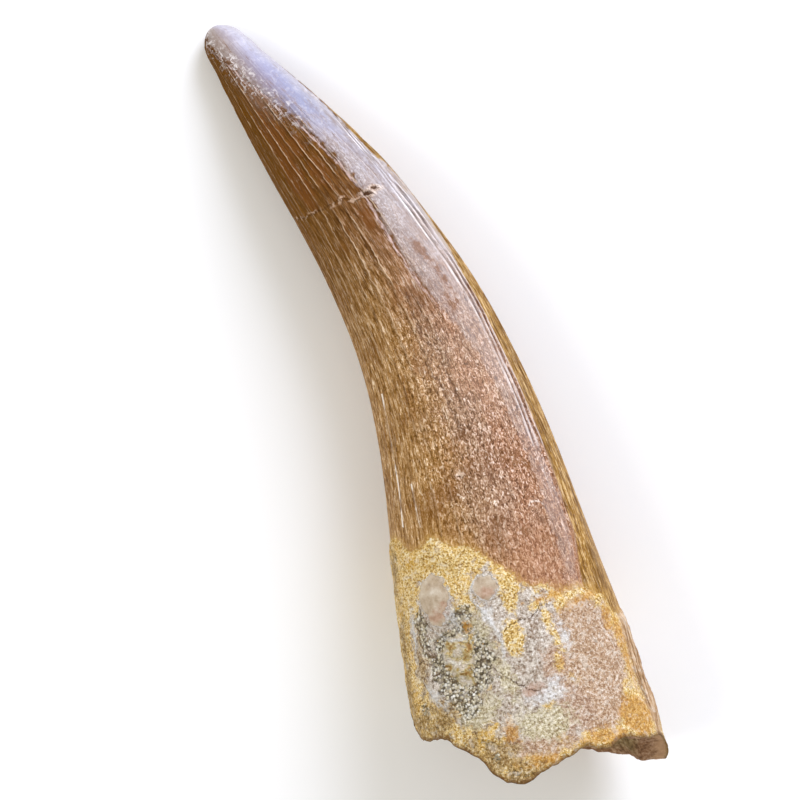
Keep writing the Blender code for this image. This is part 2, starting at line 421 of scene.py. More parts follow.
    def ridge_phase(self, skin: Skin) -> np.ndarray:
        """Ridges counted round the tooth.

        Args:
            skin: where.

        Returns:
            A count that is whole on a ridge's crest.
        """
        swing = ring_clouds(skin.angle, 1.6, skin.along / 8.0)
        wiggle = ring_clouds(skin.angle, 5.0, skin.along / 1.1 + 40.0)
        return self.ridges * skin.angle / 360.0 + self.ridge_sway * swing + self.ridge_wiggle * wiggle

    def ridge_strength(self, skin: Skin, phase: np.ndarray) -> np.ndarray:
        """How strong the ridges are, which fade in and out.

        Args:
            skin: where.
            phase: ridges counted round the tooth there.

        Returns:
            Shares from 0 to 1.
        """
        fading = ring_clouds(skin.angle, 6.0, skin.along / 6.0 + 11.0)
        fading = self.ridge_presence + self.ridge_fading * fading
        number = np.round(phase) % self.ridges
        early = self.short_ridge_end + self.short_ridge_spread * np.sin(number * 2.4)
        ending = 1.0 - smooth_step(skin.along, early, early + self.short_ridge_fade)
        ends = np.where(number % 2 == 1, ending, 1.0)
        return np.clip(fading, 0.0, 1.0) * ends

    def worn(self, skin: Skin) -> np.ndarray:
        """How far inside the worn and polished face each place is.

        Args:
            skin: where.

        Returns:
            Millimetres inside its border, negative outside it.
        """
        angle = turned(skin.angle)
        width = skin.form.width(skin.along)
        left = np.radians(through(self.worn_to_deg, skin.along) - angle)
        right = np.radians(angle - through(self.worn_from_deg, skin.along))
        return np.minimum(left, right) * width

    def from_shoulder(self, skin: Skin) -> np.ndarray:
        """Distance from the golden side's border.

        Args:
            skin: where.

        Returns:
            Millimetres, positive towards the top of the tooth.
        """
        away = np.radians(turned(skin.angle - through(self.border_deg, skin.along)))
        sway = self.line_sway * ring_clouds(skin.angle, 0.8, skin.along / 2.6 + 60.0)
        return away * skin.form.width(skin.along) + sway

    def crack_away(self, skin: Skin) -> np.ndarray:
        """Distance along the tooth from the crack that runs across it."""
        sway = clouds(skin.points, 1.0, 5.0) + 0.7 * clouds(skin.points, 0.35, 6.0)
        return self.crack.away(skin.angle, skin.along, skin.form) - self.crack_sway * sway

    def relief(self, skin: Skin) -> np.ndarray:
        """Height of the enamel's relief.

        Args:
            skin: where.

        Returns:
            Millimetres out from the smooth body.
        """
        angle, along = skin.angle, skin.along
        phase = self.ridge_phase(skin)
        away = np.abs((phase + 0.5) % 1.0 - 0.5)
        height = through(self.ridge_heights, along) * self.ridge_strength(skin, phase)
        worn = smooth_step(self.worn(skin), -0.3, 0.5)
        height = height * (1.0 - (1.0 - self.ridge_worn_share) * worn)
        relief = height * (hump(away, self.ridge_half_width) - self.ridge_mean)
        between = self.between_height * smooth_step(along, 12.0, 20.0) * (1.0 - 0.9 * worn)
        relief += between * np.cos(4.0 * math.pi * phase)
        corner = through(self.shoulder_deg, along)
        size = smooth_step(along, *self.shoulder_start) * (1.0 - smooth_step(along, *self.shoulder_end))
        relief += size * self.shoulder_height * hump(turned(angle - corner), self.shoulder_spread_deg)
        facet = turned(angle - (corner + self.facet_offset_deg))
        relief -= size * self.facet_depth * hump(facet, self.facet_spread_deg)
        across = self.from_shoulder(skin)
        strength = size * np.clip(0.8 + 0.7 * clouds(skin.points, 2.2, 8.0), 0.0, 1.2)
        for line in self.lips:
            relief += self.lip_height * strength * hump(across - line, self.lip_half_width)
        for line in self.grooves:
            relief -= self.lip_height * strength * hump(across - line, self.lip_half_width)
        relief += self.swelling * clouds(skin.points, self.swelling_size, 2.0)
        relief -= self.crack_depth * hump(self.crack_away(skin), self.crack_half_width)
        rag = self.chip_rag * clouds(skin.points, 0.3, 3.0)
        chipped = deepest(self.chips, angle, along, skin.form) + rag
        relief -= self.chip_depth * smooth_step(chipped, -0.03, 0.06)
        tip = smooth_step(along, *self.tip_wear_start)
        rough = clouds(skin.points, self.tip_wear_size, 7.0) + 0.4 * clouds(skin.points, 0.3, 9.0)
        relief += tip * self.tip_wear * (rough - 0.3)
        return relief


class Mineral(Enum):
    """What the root's coating is made of from place to place."""

    GREY = "grey_phosphate"
    BEIGE = "beige_phosphate"
    SMOOTH = "smooth_phosphate"
    ROSY = "rosy_phosphate"
    PALE = "pale_phosphate"
    CREAM = "cream_cement"
    OCHRE = "ochre_cement"
    ORANGE = "orange_iron_stain"
    BROWN = "brown_cement"
    BARE = "bare_dentine"
    SAND = "dark_phosphate_sand"
    OVAL = "knobbly_oval"


@dataclass(frozen=True)
class Coating:
    """The cemented phosphate sand on the root, with grey patches, a sand hollow and its oval."""

    edge: Stations = (
        (-180, 15.2), (-130, 13.4), (-85, 12.0), (-40, 9.6), (0, 8.4), (25, 8.4), (28, 9.2),
        (38, 9.9), (58, 10.4), (77, 11.3), (89, 12.6), (99, 13.7), (114, 14.4), (125, 15.0),
        (145, 14.7), (162, 15.5), (180, 15.2),
    )
    edge_rag: float = 0.30
    edge_rag_size: float = 1.5
    edge_fray: float = 0.18
    edge_fray_size: float = 0.45
    thickness: float = 0.10
    rise: float = 0.50
    lump_height: float = 0.16
    lump_size: float = 1.7
    grain_height: float = 0.032
    grain_size: float = 0.34
    hollow: Patch = Patch(121.0, 7.9, 2.7, 2.7)
    hollow_depth: float = 0.34
    hollow_slope: float = 1.08
    oval: Patch = Patch(122.5, 7.9, 1.15, 1.35, 8.0)
    oval_height: float = 0.26
    patches: tuple[tuple[Mineral, tuple[Patch, ...]], ...] = (
        (Mineral.GREY, (
            Patch(93.0, 9.7, 1.5, 1.9), Patch(79.0, 9.1, 1.5, 2.0), Patch(88.0, 6.6, 2.3, 2.4),
            Patch(71.0, 3.7, 1.2, 1.6), Patch(97.0, 3.9, 1.5, 1.8), Patch(112.0, 5.0, 1.9, 1.0, -20.0),
            Patch(98.0, 11.4, 1.0, 1.2), Patch(130.0, 10.6, 1.4, 1.9), Patch(149.0, 8.6, 0.6, 1.9),
            Patch(124.0, 8.0, 3.0, 2.9), Patch(-42.0, 4.6, 3.2, 2.6, 15.0),
            Patch(-128.0, 6.8, 2.6, 3.0, -10.0),
        )),
        (Mineral.BEIGE, (
            Patch(52.0, 7.9, 2.0, 1.9), Patch(49.0, 6.1, 2.3, 2.5), Patch(59.0, 3.8, 2.4, 1.8),
            Patch(36.0, 6.6, 0.7, 2.2), Patch(-75.0, 6.0, 1.8, 2.4),
            Patch(72.0, 6.2, 1.0, 1.4), Patch(88.0, 2.2, 2.2, 0.7),
        )),
        (Mineral.PALE, (
            Patch(81.5, 4.75, 1.05, 0.36, 3.0), Patch(65.0, 7.9, 0.26, 0.75), Patch(76.0, 5.4, 0.5, 0.3),
            Patch(137.0, 5.75, 0.26, 1.05, -38.0), Patch(150.5, 9.9, 0.20, 1.0),
            Patch(101.0, 10.1, 0.35, 0.6, -20.0), Patch(121.0, 10.4, 0.30, 0.65, -20.0),
            Patch(-150.0, 8.8, 1.1, 1.5),
        )),
        (Mineral.CREAM, (
            Patch(86.0, 3.4, 1.8, 0.85, 3.0), Patch(84.0, 3.0, 1.0, 0.7),
            Patch(114.0, 4.7, 1.3, 0.7, -25.0), Patch(98.5, 6.4, 0.42, 1.5, -12.0),
            Patch(107.0, 9.5, 0.50, 1.2, -20.0),
        )),
        (Mineral.OCHRE, (
            Patch(90.5, 8.45, 0.60, 1.08, 4.0), Patch(71.5, 9.2, 0.24, 0.75),
            Patch(69.5, 7.9, 0.20, 0.80, -8.0), Patch(71.5, 6.5, 0.26, 0.50),
            Patch(88.0, 11.2, 0.50, 1.3), Patch(76.5, 9.9, 0.30, 0.35),
            Patch(113.5, 9.3, 0.28, 0.55), Patch(-95.0, 4.0, 1.6, 1.2),
        )),
        (Mineral.ORANGE, (
            Patch(32.0, 8.3, 0.46, 0.90, 16.0), Patch(27.0, 7.0, 0.55, 1.10, 10.0),
            Patch(27.5, 5.2, 0.38, 1.70, -6.0), Patch(60.0, 10.4, 1.5, 0.25, -8.0),
            Patch(34.0, 2.3, 1.6, 1.20, 30.0), Patch(57.0, 1.7, 1.6, 0.42, 10.0),
            Patch(45.0, 9.7, 1.8, 0.20, -12.0),
            Patch(114.0, 9.6, 0.28, 0.30, -10.0), Patch(102.0, 3.2, 0.45, 0.7),
            Patch(92.0, 1.2, 1.0, 0.40), Patch(70.5, 6.35, 0.18, 0.3), Patch(-62.0, 2.4, 2.0, 0.8, 10.0),
        )),
        # The patches at 165 to 170 degrees make the coating darker along its left side.
        (Mineral.BROWN, (
            Patch(142.0, 4.3, 1.9, 0.75, -38.0), Patch(124.0, 2.9, 1.1, 0.5, -30.0),
            Patch(112.0, 1.9, 1.5, 0.95, -20.0), Patch(165.0, 9.4, 0.5, 2.4), Patch(170.0, 13.5, 0.7, 1.5),
            Patch(101.0, 0.8, 1.2, 0.6), Patch(147.0, 7.8, 0.5, 1.4), Patch(168.0, 6.1, 0.9, 2.0),
            Patch(143.0, 3.2, 1.0, 0.5, -35.0), Patch(157.0, 4.5, 1.6, 0.6, -30.0),
            Patch(-140.0, 3.8, 2.0, 1.0), Patch(-20.0, 1.5, 3.0, 1.2),
        )),
        (Mineral.BARE, (
            Patch(8.0, 6.2, 1.9, 4.6, 8.0), Patch(12.0, 3.0, 1.3, 2.4, 6.0),
        )),
        (Mineral.SAND, (
            Patch(121.5, 7.6, 2.2, 2.4), Patch(116.5, 10.3, 0.62, 0.75, 10.0),
            Patch(122.0, 5.5, 1.1, 1.2, -20.0), Patch(150.0, 5.4, 0.35, 0.55),
            Patch(113.5, 2.4, 0.28, 0.60, -35.0), Patch(142.0, 9.6, 0.5, 1.6, -4.0),
        )),
        (Mineral.OVAL, (
            Patch(122.5, 8.1, 1.10, 1.30, 8.0), Patch(120.0, 6.8, 0.60, 0.60),
        )),
        (Mineral.SMOOTH, (
            Patch(129.5, 11.75, 1.05, 1.25), Patch(130.0, 10.6, 0.60, 0.70, -20.0),
            Patch(99.0, 11.65, 0.80, 0.72),
        )),
        (Mineral.ROSY, (
            Patch(124.5, 11.1, 0.32, 0.28), Patch(98.0, 11.35, 0.52, 0.34), Patch(129.0, 10.6, 0.6, 0.35),
            Patch(88.0, 5.3, 0.6, 0.4),
        )),
    )
    # Thin raised white edges of broken-off layers, and hairline cracks.
    white_edges: tuple[Course, ...] = (
        Course(((7.2, 97.0), (8.6, 97.2), (10.0, 101.5), (11.4, 107.5), (12.2, 105.0))),
        Course(((109.0, 9.55), (117.0, 9.05), (126.0, 9.15), (139.0, 10.2)), across=True),
        Course(((5.0, 131.0), (6.5, 143.5), (7.2, 147.5))),
        Course(((8.6, 152.0), (10.6, 150.0))),
    )
    white_edge_height: float = 0.07
    white_edge_half_width: float = 0.12
    fissures: tuple[Course, ...] = (
        Course(((73.0, 9.9), (80.0, 9.35), (88.0, 9.3), (95.0, 8.9)), across=True),
        Course(((84.0, 5.1), (92.0, 5.6), (98.0, 6.35), (104.0, 7.0)), across=True),
    )
    fissure_depth: float = 0.03
    fissure_half_width: float = 0.08
    # How far smooth and ochre patches stand out of the sand, and beige ones lie in it.
    smooth_height: float = 0.09
    beige_depth: float = 0.06
    ochre_height: float = 0.05

    def cover(self, skin: Skin) -> np.ndarray:
        """Distance from the coating's ragged upper edge.

        Args:
            skin: where.

        Returns:
            Millimetres, positive on the coating.
        """
        rag = self.edge_rag * clouds(skin.points, self.edge_rag_size, 12.0)
        fray = self.edge_fray * clouds(skin.points, self.edge_fray_size, 13.0)
        return through(self.edge, turned(skin.angle)) + rag + fray - skin.along

    def hollow_share(self, skin: Skin) -> np.ndarray:
        """How deep the sand hollow is at each place, from 0 to 1."""
        inside = self.hollow.depth(skin.angle, skin.along, skin.form)
        return smooth_step(inside, 0.0, self.hollow_slope)

    def inside(self, skin: Skin, mineral: Mineral) -> np.ndarray:
        """Millimetres inside the patches of a mineral, negative outside them."""
        return deepest(dict(self.patches)[mineral], skin.angle, skin.along, skin.form)

    def relief(self, skin: Skin) -> np.ndarray:
        """Height of the coating's relief.

        Args:
            skin: where.

        Returns:
            Millimetres out from the smooth body, 0 where there is no coating.
        """
        angle, along, form = skin.angle, skin.along, skin.form
        coated = smooth_step(self.cover(skin), -0.05, self.rise)
        width = form.width(along)
        lumps = ring_clouds(angle, width / self.lump_size, along / self.lump_size)
        height = self.thickness + self.lump_height * lumps
        hollow = self.hollow_share(skin)
        height -= self.hollow_depth * hollow
        grains = clouds(skin.points, self.grain_size, 20.0)
        grains += 0.7 * clouds(skin.points, 0.45 * self.grain_size, 21.0)
        smooth = smooth_step(self.inside(skin, Mineral.SMOOTH), -0.08, 0.10)
        height += self.grain_height * grains * (1.0 - 0.75 * smooth) * (1.0 + 1.3 * hollow)
        height += self.smooth_height * smooth
        height -= self.beige_depth * smooth_step(self.inside(skin, Mineral.BEIGE), -0.1, 0.25)
        height += self.ochre_height * smooth_step(self.inside(skin, Mineral.OCHRE), -0.1, 0.2)
        oval = smooth_step(self.oval.depth(angle, along, form), -0.15, 0.45) * (1.0 - smooth)
        knobs = 0.7 + 0.9 * clouds(skin.points, 0.6, 23.0)
        height += self.oval_height * oval * knobs
        raised = hump(nearest(self.white_edges, angle, along, form), self.white_edge_half_width)
        height += self.white_edge_height * raised * (0.8 + 0.5 * clouds(skin.points, 0.8, 24.0))
        cracked = hump(nearest(self.fissures, angle, along, form), self.fissure_half_width)
        height -= self.fissure_depth * cracked
        return coated * height


@dataclass(frozen=True)
class BrokenEnd:
    """The break across the root: its uneven edge, the wall's face and the shallow cavity."""

    edge: Stations = (
        (-180, 5.3), (-165, 5.6), (-148, 4.7), (-128, 3.2), (-110, 2.0), (-92, 1.3), (-76, 0.6),
        (-63, 0.1), (-52, -0.2), (-38, -0.55), (-23, -0.9), (-15, -1.0), (-8, -0.6), (0, 0.0),
        (12, 0.5), (24, 0.7), (35, 0.8), (47, 1.2), (53, 1.1), (59, 0.9), (65, 1.1), (70, 1.4),
        (77, 1.1), (85, 0.75), (93, 0.5), (100, 0.1), (107, 0.35), (114, 0.9), (119, 1.8),
        (125, 2.5), (132, 3.1), (139, 3.5), (159, 3.7), (170, 4.5), (180, 5.3),
    )
    chips: float = 0.15
    splinters: float = 0.16
    splinter_size: float = 0.5
    wall: float = 1.35
    wall_change: float = 0.45
    # Rings of the wall: (further in than the wall's inner side, deeper than the edge)
    wall_rings: tuple[tuple[float, float], ...] = ((0.0, 0.25), (0.35, 1.20), (0.95, 2.00))
    # Rings of the floor: (share of the section's radius, deeper than the edge)
    floor_rings: tuple[tuple[float, float], ...] = ((0.52, 2.40), (0.26, 2.70))
    cavity_depth: float = 2.8
    floor_lump: float = 0.35
    wall_share: float = 0.34
    roughness: float = 0.10
    roughness_size: float = 0.55
    roughness_bias: float = 0.35
    smooth_share: float = 0.06

    def middle(self) -> float:
        """Mean distance along the axis of the broken edge."""
        return sum(along for _, along in self.edge) / len(self.edge)

    def edge_at(self, angle: np.ndarray) -> np.ndarray:
        """Distance along the axis at which the root breaks off, as the solid has it."""
        return through(self.edge, turned(angle)) + self.chips * ring_clouds(angle, 4.0, 9.0)

    def rough_edge_at(self, angle: np.ndarray) -> np.ndarray:
        """The same edge with its small splinters, which only take away.

        Args:
            angle: degrees round the tooth.

        Returns:
            Distances along the axis.
        """
        small = ring_clouds(angle, 7.0 / self.splinter_size, 31.0)
        tiny = ring_clouds(angle, 14.0 / self.splinter_size, 33.0)
        return self.edge_at(angle) + self.splinters * (0.5 + 0.7 * small + 0.3 * tiny)

    def inside(
        self, form: ToothForm, angle: np.ndarray, share: np.ndarray, rim: np.ndarray
    ) -> np.ndarray:
        """Points of the break and the cavity.

        Args:
            form: the body that is broken.
            angle: degrees round it.
            share: 0 at the broken edge to 1 at the middle of the cavity's floor.
            rim: the outer edge's relief, in millimetres.

        Returns:
            One row of x, y and z a point.
        """
        edge, start = self.edge_at(angle), self.rough_edge_at(angle)
        middle = self.middle()
        reach = [form.radius(start) + rim]
        stops = [start]
        for row, (further_in, deeper) in enumerate(self.wall_rings):
            wander = ring_clouds(angle, 3.0, 1.7 * row)
            reach.append(form.radius(edge + deeper) - self.wall - self.wall_change * wander - further_in)
            stops.append(edge + deeper)
        for row, (of_radius, deeper) in enumerate(self.floor_rings, len(self.wall_rings)):
            lump = self.floor_lump * ring_clouds(angle, 3.0, 1.7 * row)
            stops.append(middle + (edge - middle) * of_radius + deeper + lump)
            reach.append(of_radius * form.radius(stops[-1]))
        reach.append(np.zeros_like(angle))
        stops.append(np.full_like(angle, middle + self.cavity_depth))
        knots = np.concatenate([[0.0], np.linspace(self.wall_share, 1.0, len(reach) - 1)])
        index = np.clip(np.searchsorted(knots, share, side="right") - 1, 0, len(knots) - 2)
        t = (share - knots[index]) / (knots[index + 1] - knots[index])
        pick = np.arange(len(angle))
        reach, stops = np.array(reach), np.array(stops)
        radius = reach[index, pick] * (1.0 - t) + reach[index + 1, pick] * t
        along = stops[index, pick] * (1.0 - t) + stops[index + 1, pick] * t
        smooth = form.place(angle, along, radius)
        rough = clouds(smooth, self.roughness_size, 41.0)
        rough += 0.5 * clouds(smooth, 0.45 * self.roughness_size, 42.0)
        away = smooth_step(share, 0.0, self.smooth_share)
        along = along + away * self.roughness * (self.roughness_bias + rough)
        return form.place(angle, along, radius)


# --- finishes --------------------------------------------------------------------------------

NOISE, RANGE, RAMP = "ShaderNodeTexNoise", "ShaderNodeMapRange", "ShaderNodeValToRGB"
MATH, VECTOR, MIX = "ShaderNodeMath", "ShaderNodeVectorMath", "ShaderNodeMix"
ATTRIBUTE, SURFACE, OUTPUT = "ShaderNodeAttribute", "ShaderNodeBsdfPrincipled", "ShaderNodeOutputMaterial"
TIMES, PLUS, TIMES_PLUS = {"operation": "MULTIPLY"}, {"operation": "ADD"}, {"operation": "MULTIPLY_ADD"}
UNSIGNED, GREATER, FRACTION = {"operation": "ABSOLUTE"}, {"operation": "MAXIMUM"}, {"operation": "FRACT"}
SOFT = {"interpolation_type": "SMOOTHSTEP"}
COLOUR = {"data_type": "RGBA"}
BLACK, WHITE = "#000000", "#FFFFFF"
SKIN_MAP = "skin"


def linear(code: str) -> tuple[float, float, float, float]:
    """A linear colour from an sRGB hex code.

    Args:
        code: six hex digits after a #.

    Returns:
        Red, green, blue and alpha.
    """
    parts = [int(code[i : i + 2], 16) / 255.0 for i in (1, 3, 5)]
    light = [p / 12.92 if p <= 0.04045 else ((p + 0.055) / 1.055) ** 2.4 for p in parts]
    return (light[0], light[1], light[2], 1.0)


def peaks(*places: tuple[float, ...]) -> dict[str, Stops]:
    """A ramp's settings for white peaks on black.

    Args:
        places: for each peak where it starts, is white and ends.

    Returns:
        The settings.
    """
    ends = {place for peak in places for place in (peak[0], peak[-1])}
    stops = tuple((place, BLACK if place in ends else WHITE) for peak in places for place in peak)
    return {"stops": stops}


class Mark(Enum):
    """What a mesh carries at each point for its finish, besides the tooth's minerals."""

    ALONG = "along"  # mm along the tooth
    SIDE = "side"  # 1 at the outer side of the bend, -1 at the inner
    GRAIN = "grain"  # where striations are read: a unit is about 1 mm round, 6 mm along
    COVER = "cover"  # mm inside the coating's upper edge
    BROKEN = "broken"  # share of the way from the broken edge into the cavity
    EDGE = "edge"  # mm from the broken edge
    WORN = "worn"  # mm inside the worn face
    WORN_STRENGTH = "worn_strength"  # share, and so are hem, crest and lines
    HEM = "hem"
    CRACK = "crack"  # mm from the crack across the crown
    CREST = "crest"
    SHOULDER = "shoulder"  # mm from the shoulder's lines
    LINES = "lines"
    BRIGHT = "bright"  # mm from the nearest bright line, as for scratches, edges and fissures
    SCRATCH = "scratch"
    WEATHERED = "weathered"  # mm inside the nearest patch, as for stains and chips
    STAINED = "stained"
    BEYOND = "beyond"  # mm past the shoulder, on the golden side
    CHIP = "chip"
    WHITE_EDGE = "white_edge"
    FISSURE = "fissure"
    TINT = "tint"  # a grain's own shade, from 0 to 1


class Shading:
    """A material and its node tree, while it is built."""

    def __init__(self, name: str) -> None:
        """Opens a new material with an empty tree.

        Args:
            name: the material's name.
        """
        self.material = bpy.data.materials.new(name)
        self.material.use_nodes = True
        self.tree = self.material.node_tree
        self.tree.nodes.clear()

    def add(self, kind: str, settings: dict[str, Any], *inputs: Any, output: Any = 0, **named: Any) -> Any:
        """Adds a node with its settings and links.

        Args:
            kind: the node's type.
            settings: properties to set on it; `stops` are a colour ramp's (place, hex) pairs.
            inputs: values, sockets or marks of the mesh for its first inputs, None to leave one alone.
            output: the output to return, by name or index.
            named: the same for inputs that go by name, with _ for a space.

        Returns:
            The asked output socket, or None where the node has no output.
        """
        node = self.tree.nodes.new(kind)
        for name, value in settings.items():
            if name == "stops":
                ramp = node.color_ramp
                while len(ramp.elements) < len(value):
                    ramp.elements.new(1.0)
                for element, (place, code) in zip(ramp.elements, value):
                    element.position, element.color = place, linear(code)
            else:
                setattr(node, name, value)
        spaced = {name.replace("_", " "): value for name, value in named.items()}
        for name, value in (dict(enumerate(inputs)) | spaced).items():
            if isinstance(value, Enum):
                value = self.add(ATTRIBUTE, {"attribute_name": value.value}, output="Fac")
            if isinstance(value, bpy.types.NodeSocket):
                self.tree.links.new(value, node.inputs[name])
            elif value is not None:
                node.inputs[name].default_value = linear(value) if isinstance(value, str) else value
        return node.outputs[output] if node.outputs else None

    @cached_property
    def mm(self) -> Any:
        """The place on the piece, in millimetres."""
        place = self.add("ShaderNodeTexCoord", {}, output="Object")
        return self.add(VECTOR, {"operation": "SCALE"}, place, Scale=1.0 / MM)

    @cached_property
    def grain(self) -> Any:
        """The place round the tooth and, much slower, along it, which striations follow."""
        return self.add(ATTRIBUTE, {"attribute_name": Mark.GRAIN.value}, output="Vector")

    def ragged(self, mark: Enum, per_mm: float, rag: float, place: Any = None) -> Any:
        """A mark in millimetres, made to wander by fine noise.

        Args:
            mark: the mark to read.
            per_mm: how many times a millimetre it wanders.
            rag: how far it wanders, in millimetres.
            place: what the noise is read by, the place in millimetres if none is given.

        Returns:
            A socket in millimetres.
        """
        place = self.mm if place is None else place
        wander = self.add(NOISE, {}, Vector=place, Scale=per_mm, Detail=3.0, Roughness=0.65)
        wander = self.add(RANGE, {}, wander, 0.25, 0.75, -rag, rag)
        return self.add(MATH, PLUS, wander, mark)

    def within(self, mark: Enum, per_mm: float, rag: float, low: float, high: float) -> Any:
        """A soft mask of a ragged mark, 0 at low millimetres and 1 at high."""
        return self.add(RANGE, SOFT, self.ragged(mark, per_mm, rag), low, high)

    def line(self, away: Any, wide: float, core: float) -> Any:
        """A soft mask of a line, 0 at the wide distance from it and 1 nearer than its core."""
        return self.add(RANGE, SOFT, self.add(MATH, UNSIGNED, away), wide, core)

    def painted(self, colour: Any, layers: list[tuple[Any, float, Any]]) -> Any:
        """Lays colours over one another.

        Args:
            colour: the colour underneath.
            layers: for each, its mask, its greatest share and its colour.

        Returns:
            A colour socket.
        """
        for mask, share, over in layers:
            amount = mask if share == 1.0 else self.add(MATH, TIMES, mask, share)
            # A Mix node's two colours are its seventh and eighth inputs, and its third output.
            colour = self.add(MIX, COLOUR, amount, *(None,) * 5, colour, over, output=2)
        return colour

    def raised(self, parts: list[tuple[Any, float]]) -> Any:
        """Adds up relief.

        Args:
            parts: for each, a socket from 0 to 1 and its height in millimetres.

        Returns:
            A height socket, in millimetres.
        """
        height: Any = 0.0
        for part, size in parts:
            height = self.add(MATH, TIMES_PLUS, part, size, height)
        return height


@dataclass(frozen=True)
class Speckle:
    """Shades that noise runs through; per_mm is how many times a millimetre it changes."""

    per_mm: float
    detail: float
    roughness: float
    stops: Stops

    def build(self, shading: Shading, place: Any = None) -> Any:
        """The speckle's colour.

        Args:
            shading: the material.
            place: what the noise is read by, the place in millimetres if none is given.

        Returns:
            A colour socket.
        """
        place = shading.mm if place is None else place
        noise_settings = {"Scale": self.per_mm, "Detail": self.detail, "Roughness": self.roughness}
        pattern = shading.add(NOISE, {}, Vector=place, **noise_settings)
        return shading.add(RAMP, {"stops": self.stops}, pattern)


@dataclass(frozen=True)
class Layer:
    """A mineral's look on the coating, and how ragged its patches are.

    The rag is how far their edges wander, in millimetres, per_mm how many times a millimetre,
    soft half the width over which they fade, and share how much they cover. With a stretch it
    follows the tooth's length: 1 is about four times as long as wide, 4 as long as wide.
    """

    speckle: Speckle
    rag: float
    per_mm: float
    soft: float
    share: float = 1.0
    stretch: float = 0.0


OCHRE_SAND = Speckle(
    7.8, 2.0, 0.80,
    ((0.35, "#7C582A"), (0.42, "#BE9448"), (0.48, "#DDB666"), (0.55, "#EED497"), (0.64, "#FBEFCE")),
)
GREY_SAND = Speckle(
    5.6, 3.0, 0.80,
    ((0.36, "#64544A"), (0.43, "#9D8E82"), (0.50, "#BFB1A4"), (0.57, "#D9CFC6"), (0.65, "#F7F3EE")),
)
BEIGE_SAND = Speckle(
    6.4, 3.0, 0.80,
    ((0.36, "#7E5C46"), (0.43, "#A38065"), (0.50, "#BC9A7E"), (0.57, "#D2B8A2"), (0.65, "#EEE0D4")),
)
CREAM_SAND = Speckle(
    6.2, 3.0, 0.75,
    ((0.36, "#6C5A3E"), (0.43, "#AA9A74"), (0.50, "#CABD98"), (0.57, "#E0D5B8"), (0.65, "#F9F3E2")),
)
PALE_SAND = Speckle(
    6.0, 3.0, 0.75, ((0.36, "#8E877C"), (0.44, "#C2BCB6"), (0.52, "#DAD7D5"), (0.64, "#F6F4F2"))
)
ORANGE_SAND = Speckle(
    5.6, 3.0, 0.75, ((0.36, "#8E5A1A"), (0.45, "#BA7F2E"), (0.53, "#CC9644"), (0.66, "#E8C48A"))
)
SMOOTH_GREY = Speckle(
    1.6, 5.0, 0.60, ((0.32, "#A28D76"), (0.48, "#BDAA92"), (0.60, "#CABBA6"), (0.72, "#DDD3C4"))
)
BARE_DENTINE = Speckle(
    4.6, 3.0, 0.75, ((0.36, "#6E4C2C"), (0.45, "#A27C54"), (0.53, "#C09A74"), (0.64, "#E4CCB0"))
)
BROWN_SAND = Speckle(
    5.6, 3.0, 0.80,
    ((0.36, "#3E2C14"), (0.43, "#76582C"), (0.50, "#9E7E4A"), (0.57, "#C0A270"), (0.65, "#E8D8B4")),
)
ROSY_BROWN = Speckle(3.0, 3.0, 0.65, ((0.32, "#9A6F55"), (0.50, "#B58F78"), (0.70, "#D0B6A4")))
OVAL_KNOBS = Speckle(
    1.9, 3.0, 0.60,
    ((0.34, "#A2753A"), (0.43, "#C4A768"), (0.50, "#D6C8A2"), (0.58, "#DCCBB8"), (0.68, "#F4EFE0")),
)
DENTINE = Speckle(3.0, 5.0, 0.70, ((0.34, "#5C3C22"), (0.50, "#966E4C"), (0.66, "#C6A484")))
SAND_FILLING = Speckle(3.0, 5.0, 0.70, ((0.30, "#5E4A2C"), (0.50, "#8E744A"), (0.72, "#C6AE80")))

LAYERS = {
    Mineral.BARE: Layer(BARE_DENTINE, 0.40, 1.5, 0.30, 0.95, 1.0),
    Mineral.GREY: Layer(GREY_SAND, 0.60, 1.8, 0.22, 0.92),
    Mineral.BEIGE: Layer(BEIGE_SAND, 0.50, 1.5, 0.30, 0.92),
    Mineral.CREAM: Layer(CREAM_SAND, 0.40, 2.5, 0.25, 0.9),
    Mineral.PALE: Layer(PALE_SAND, 0.30, 3.0, 0.22, 0.85),
    Mineral.OCHRE: Layer(OCHRE_SAND, 0.22, 4.0, 0.10),
    Mineral.ORANGE: Layer(ORANGE_SAND, 0.30, 2.5, 0.18, 0.80),
    Mineral.BROWN: Layer(BROWN_SAND, 0.60, 1.8, 0.35, 0.85),
}


@dataclass(frozen=True)
class EnamelShades:
    """The enamel's shades, each as stops of the fine pattern that runs through it."""

    # Golden to rosy enamel low on the crown, weathered grey and darker brown above.
    golden: Stops = (
        (0.37, "#54350F"), (0.446, "#8A6028"), (0.50, "#A77E4B"), (0.554, "#C9A06C"), (0.63, "#FFE9CA"),
    )
    rosy: Stops = (
        (0.36, "#52321F"), (0.44, "#82563C"), (0.50, "#A77856"), (0.56, "#CFA588"), (0.63, "#FAE2D4"),
    )
    grey: Stops = (
        (0.36, "#3E2E22"), (0.44, "#70584A"), (0.50, "#967C68"), (0.56, "#C2AE9A"), (0.63, "#F1E6DA"),
    )
    upper: Stops = (
        (0.28, "#3E2304"), (0.42, "#583407"), (0.52, "#6B410C"), (0.62, "#80521A"), (0.76, "#A87E4A"),
    )
    # The strip beyond the shoulder, and the painted sheen on the polished face from its foot to the tip.
    strip: Stops = ((0.38, "#5C3C14"), (0.46, "#946A2A"), (0.53, "#B08844"), (0.61, "#E6C48E"))
    painted_sheen: Stops = (
        (0.10, "#A99994"), (0.30, "#93868C"), (0.50, "#908AA2"), (0.66, "#7C81A8"), (0.80, "#9496BC"),
        (0.95, "#BCB8CA"),
    )


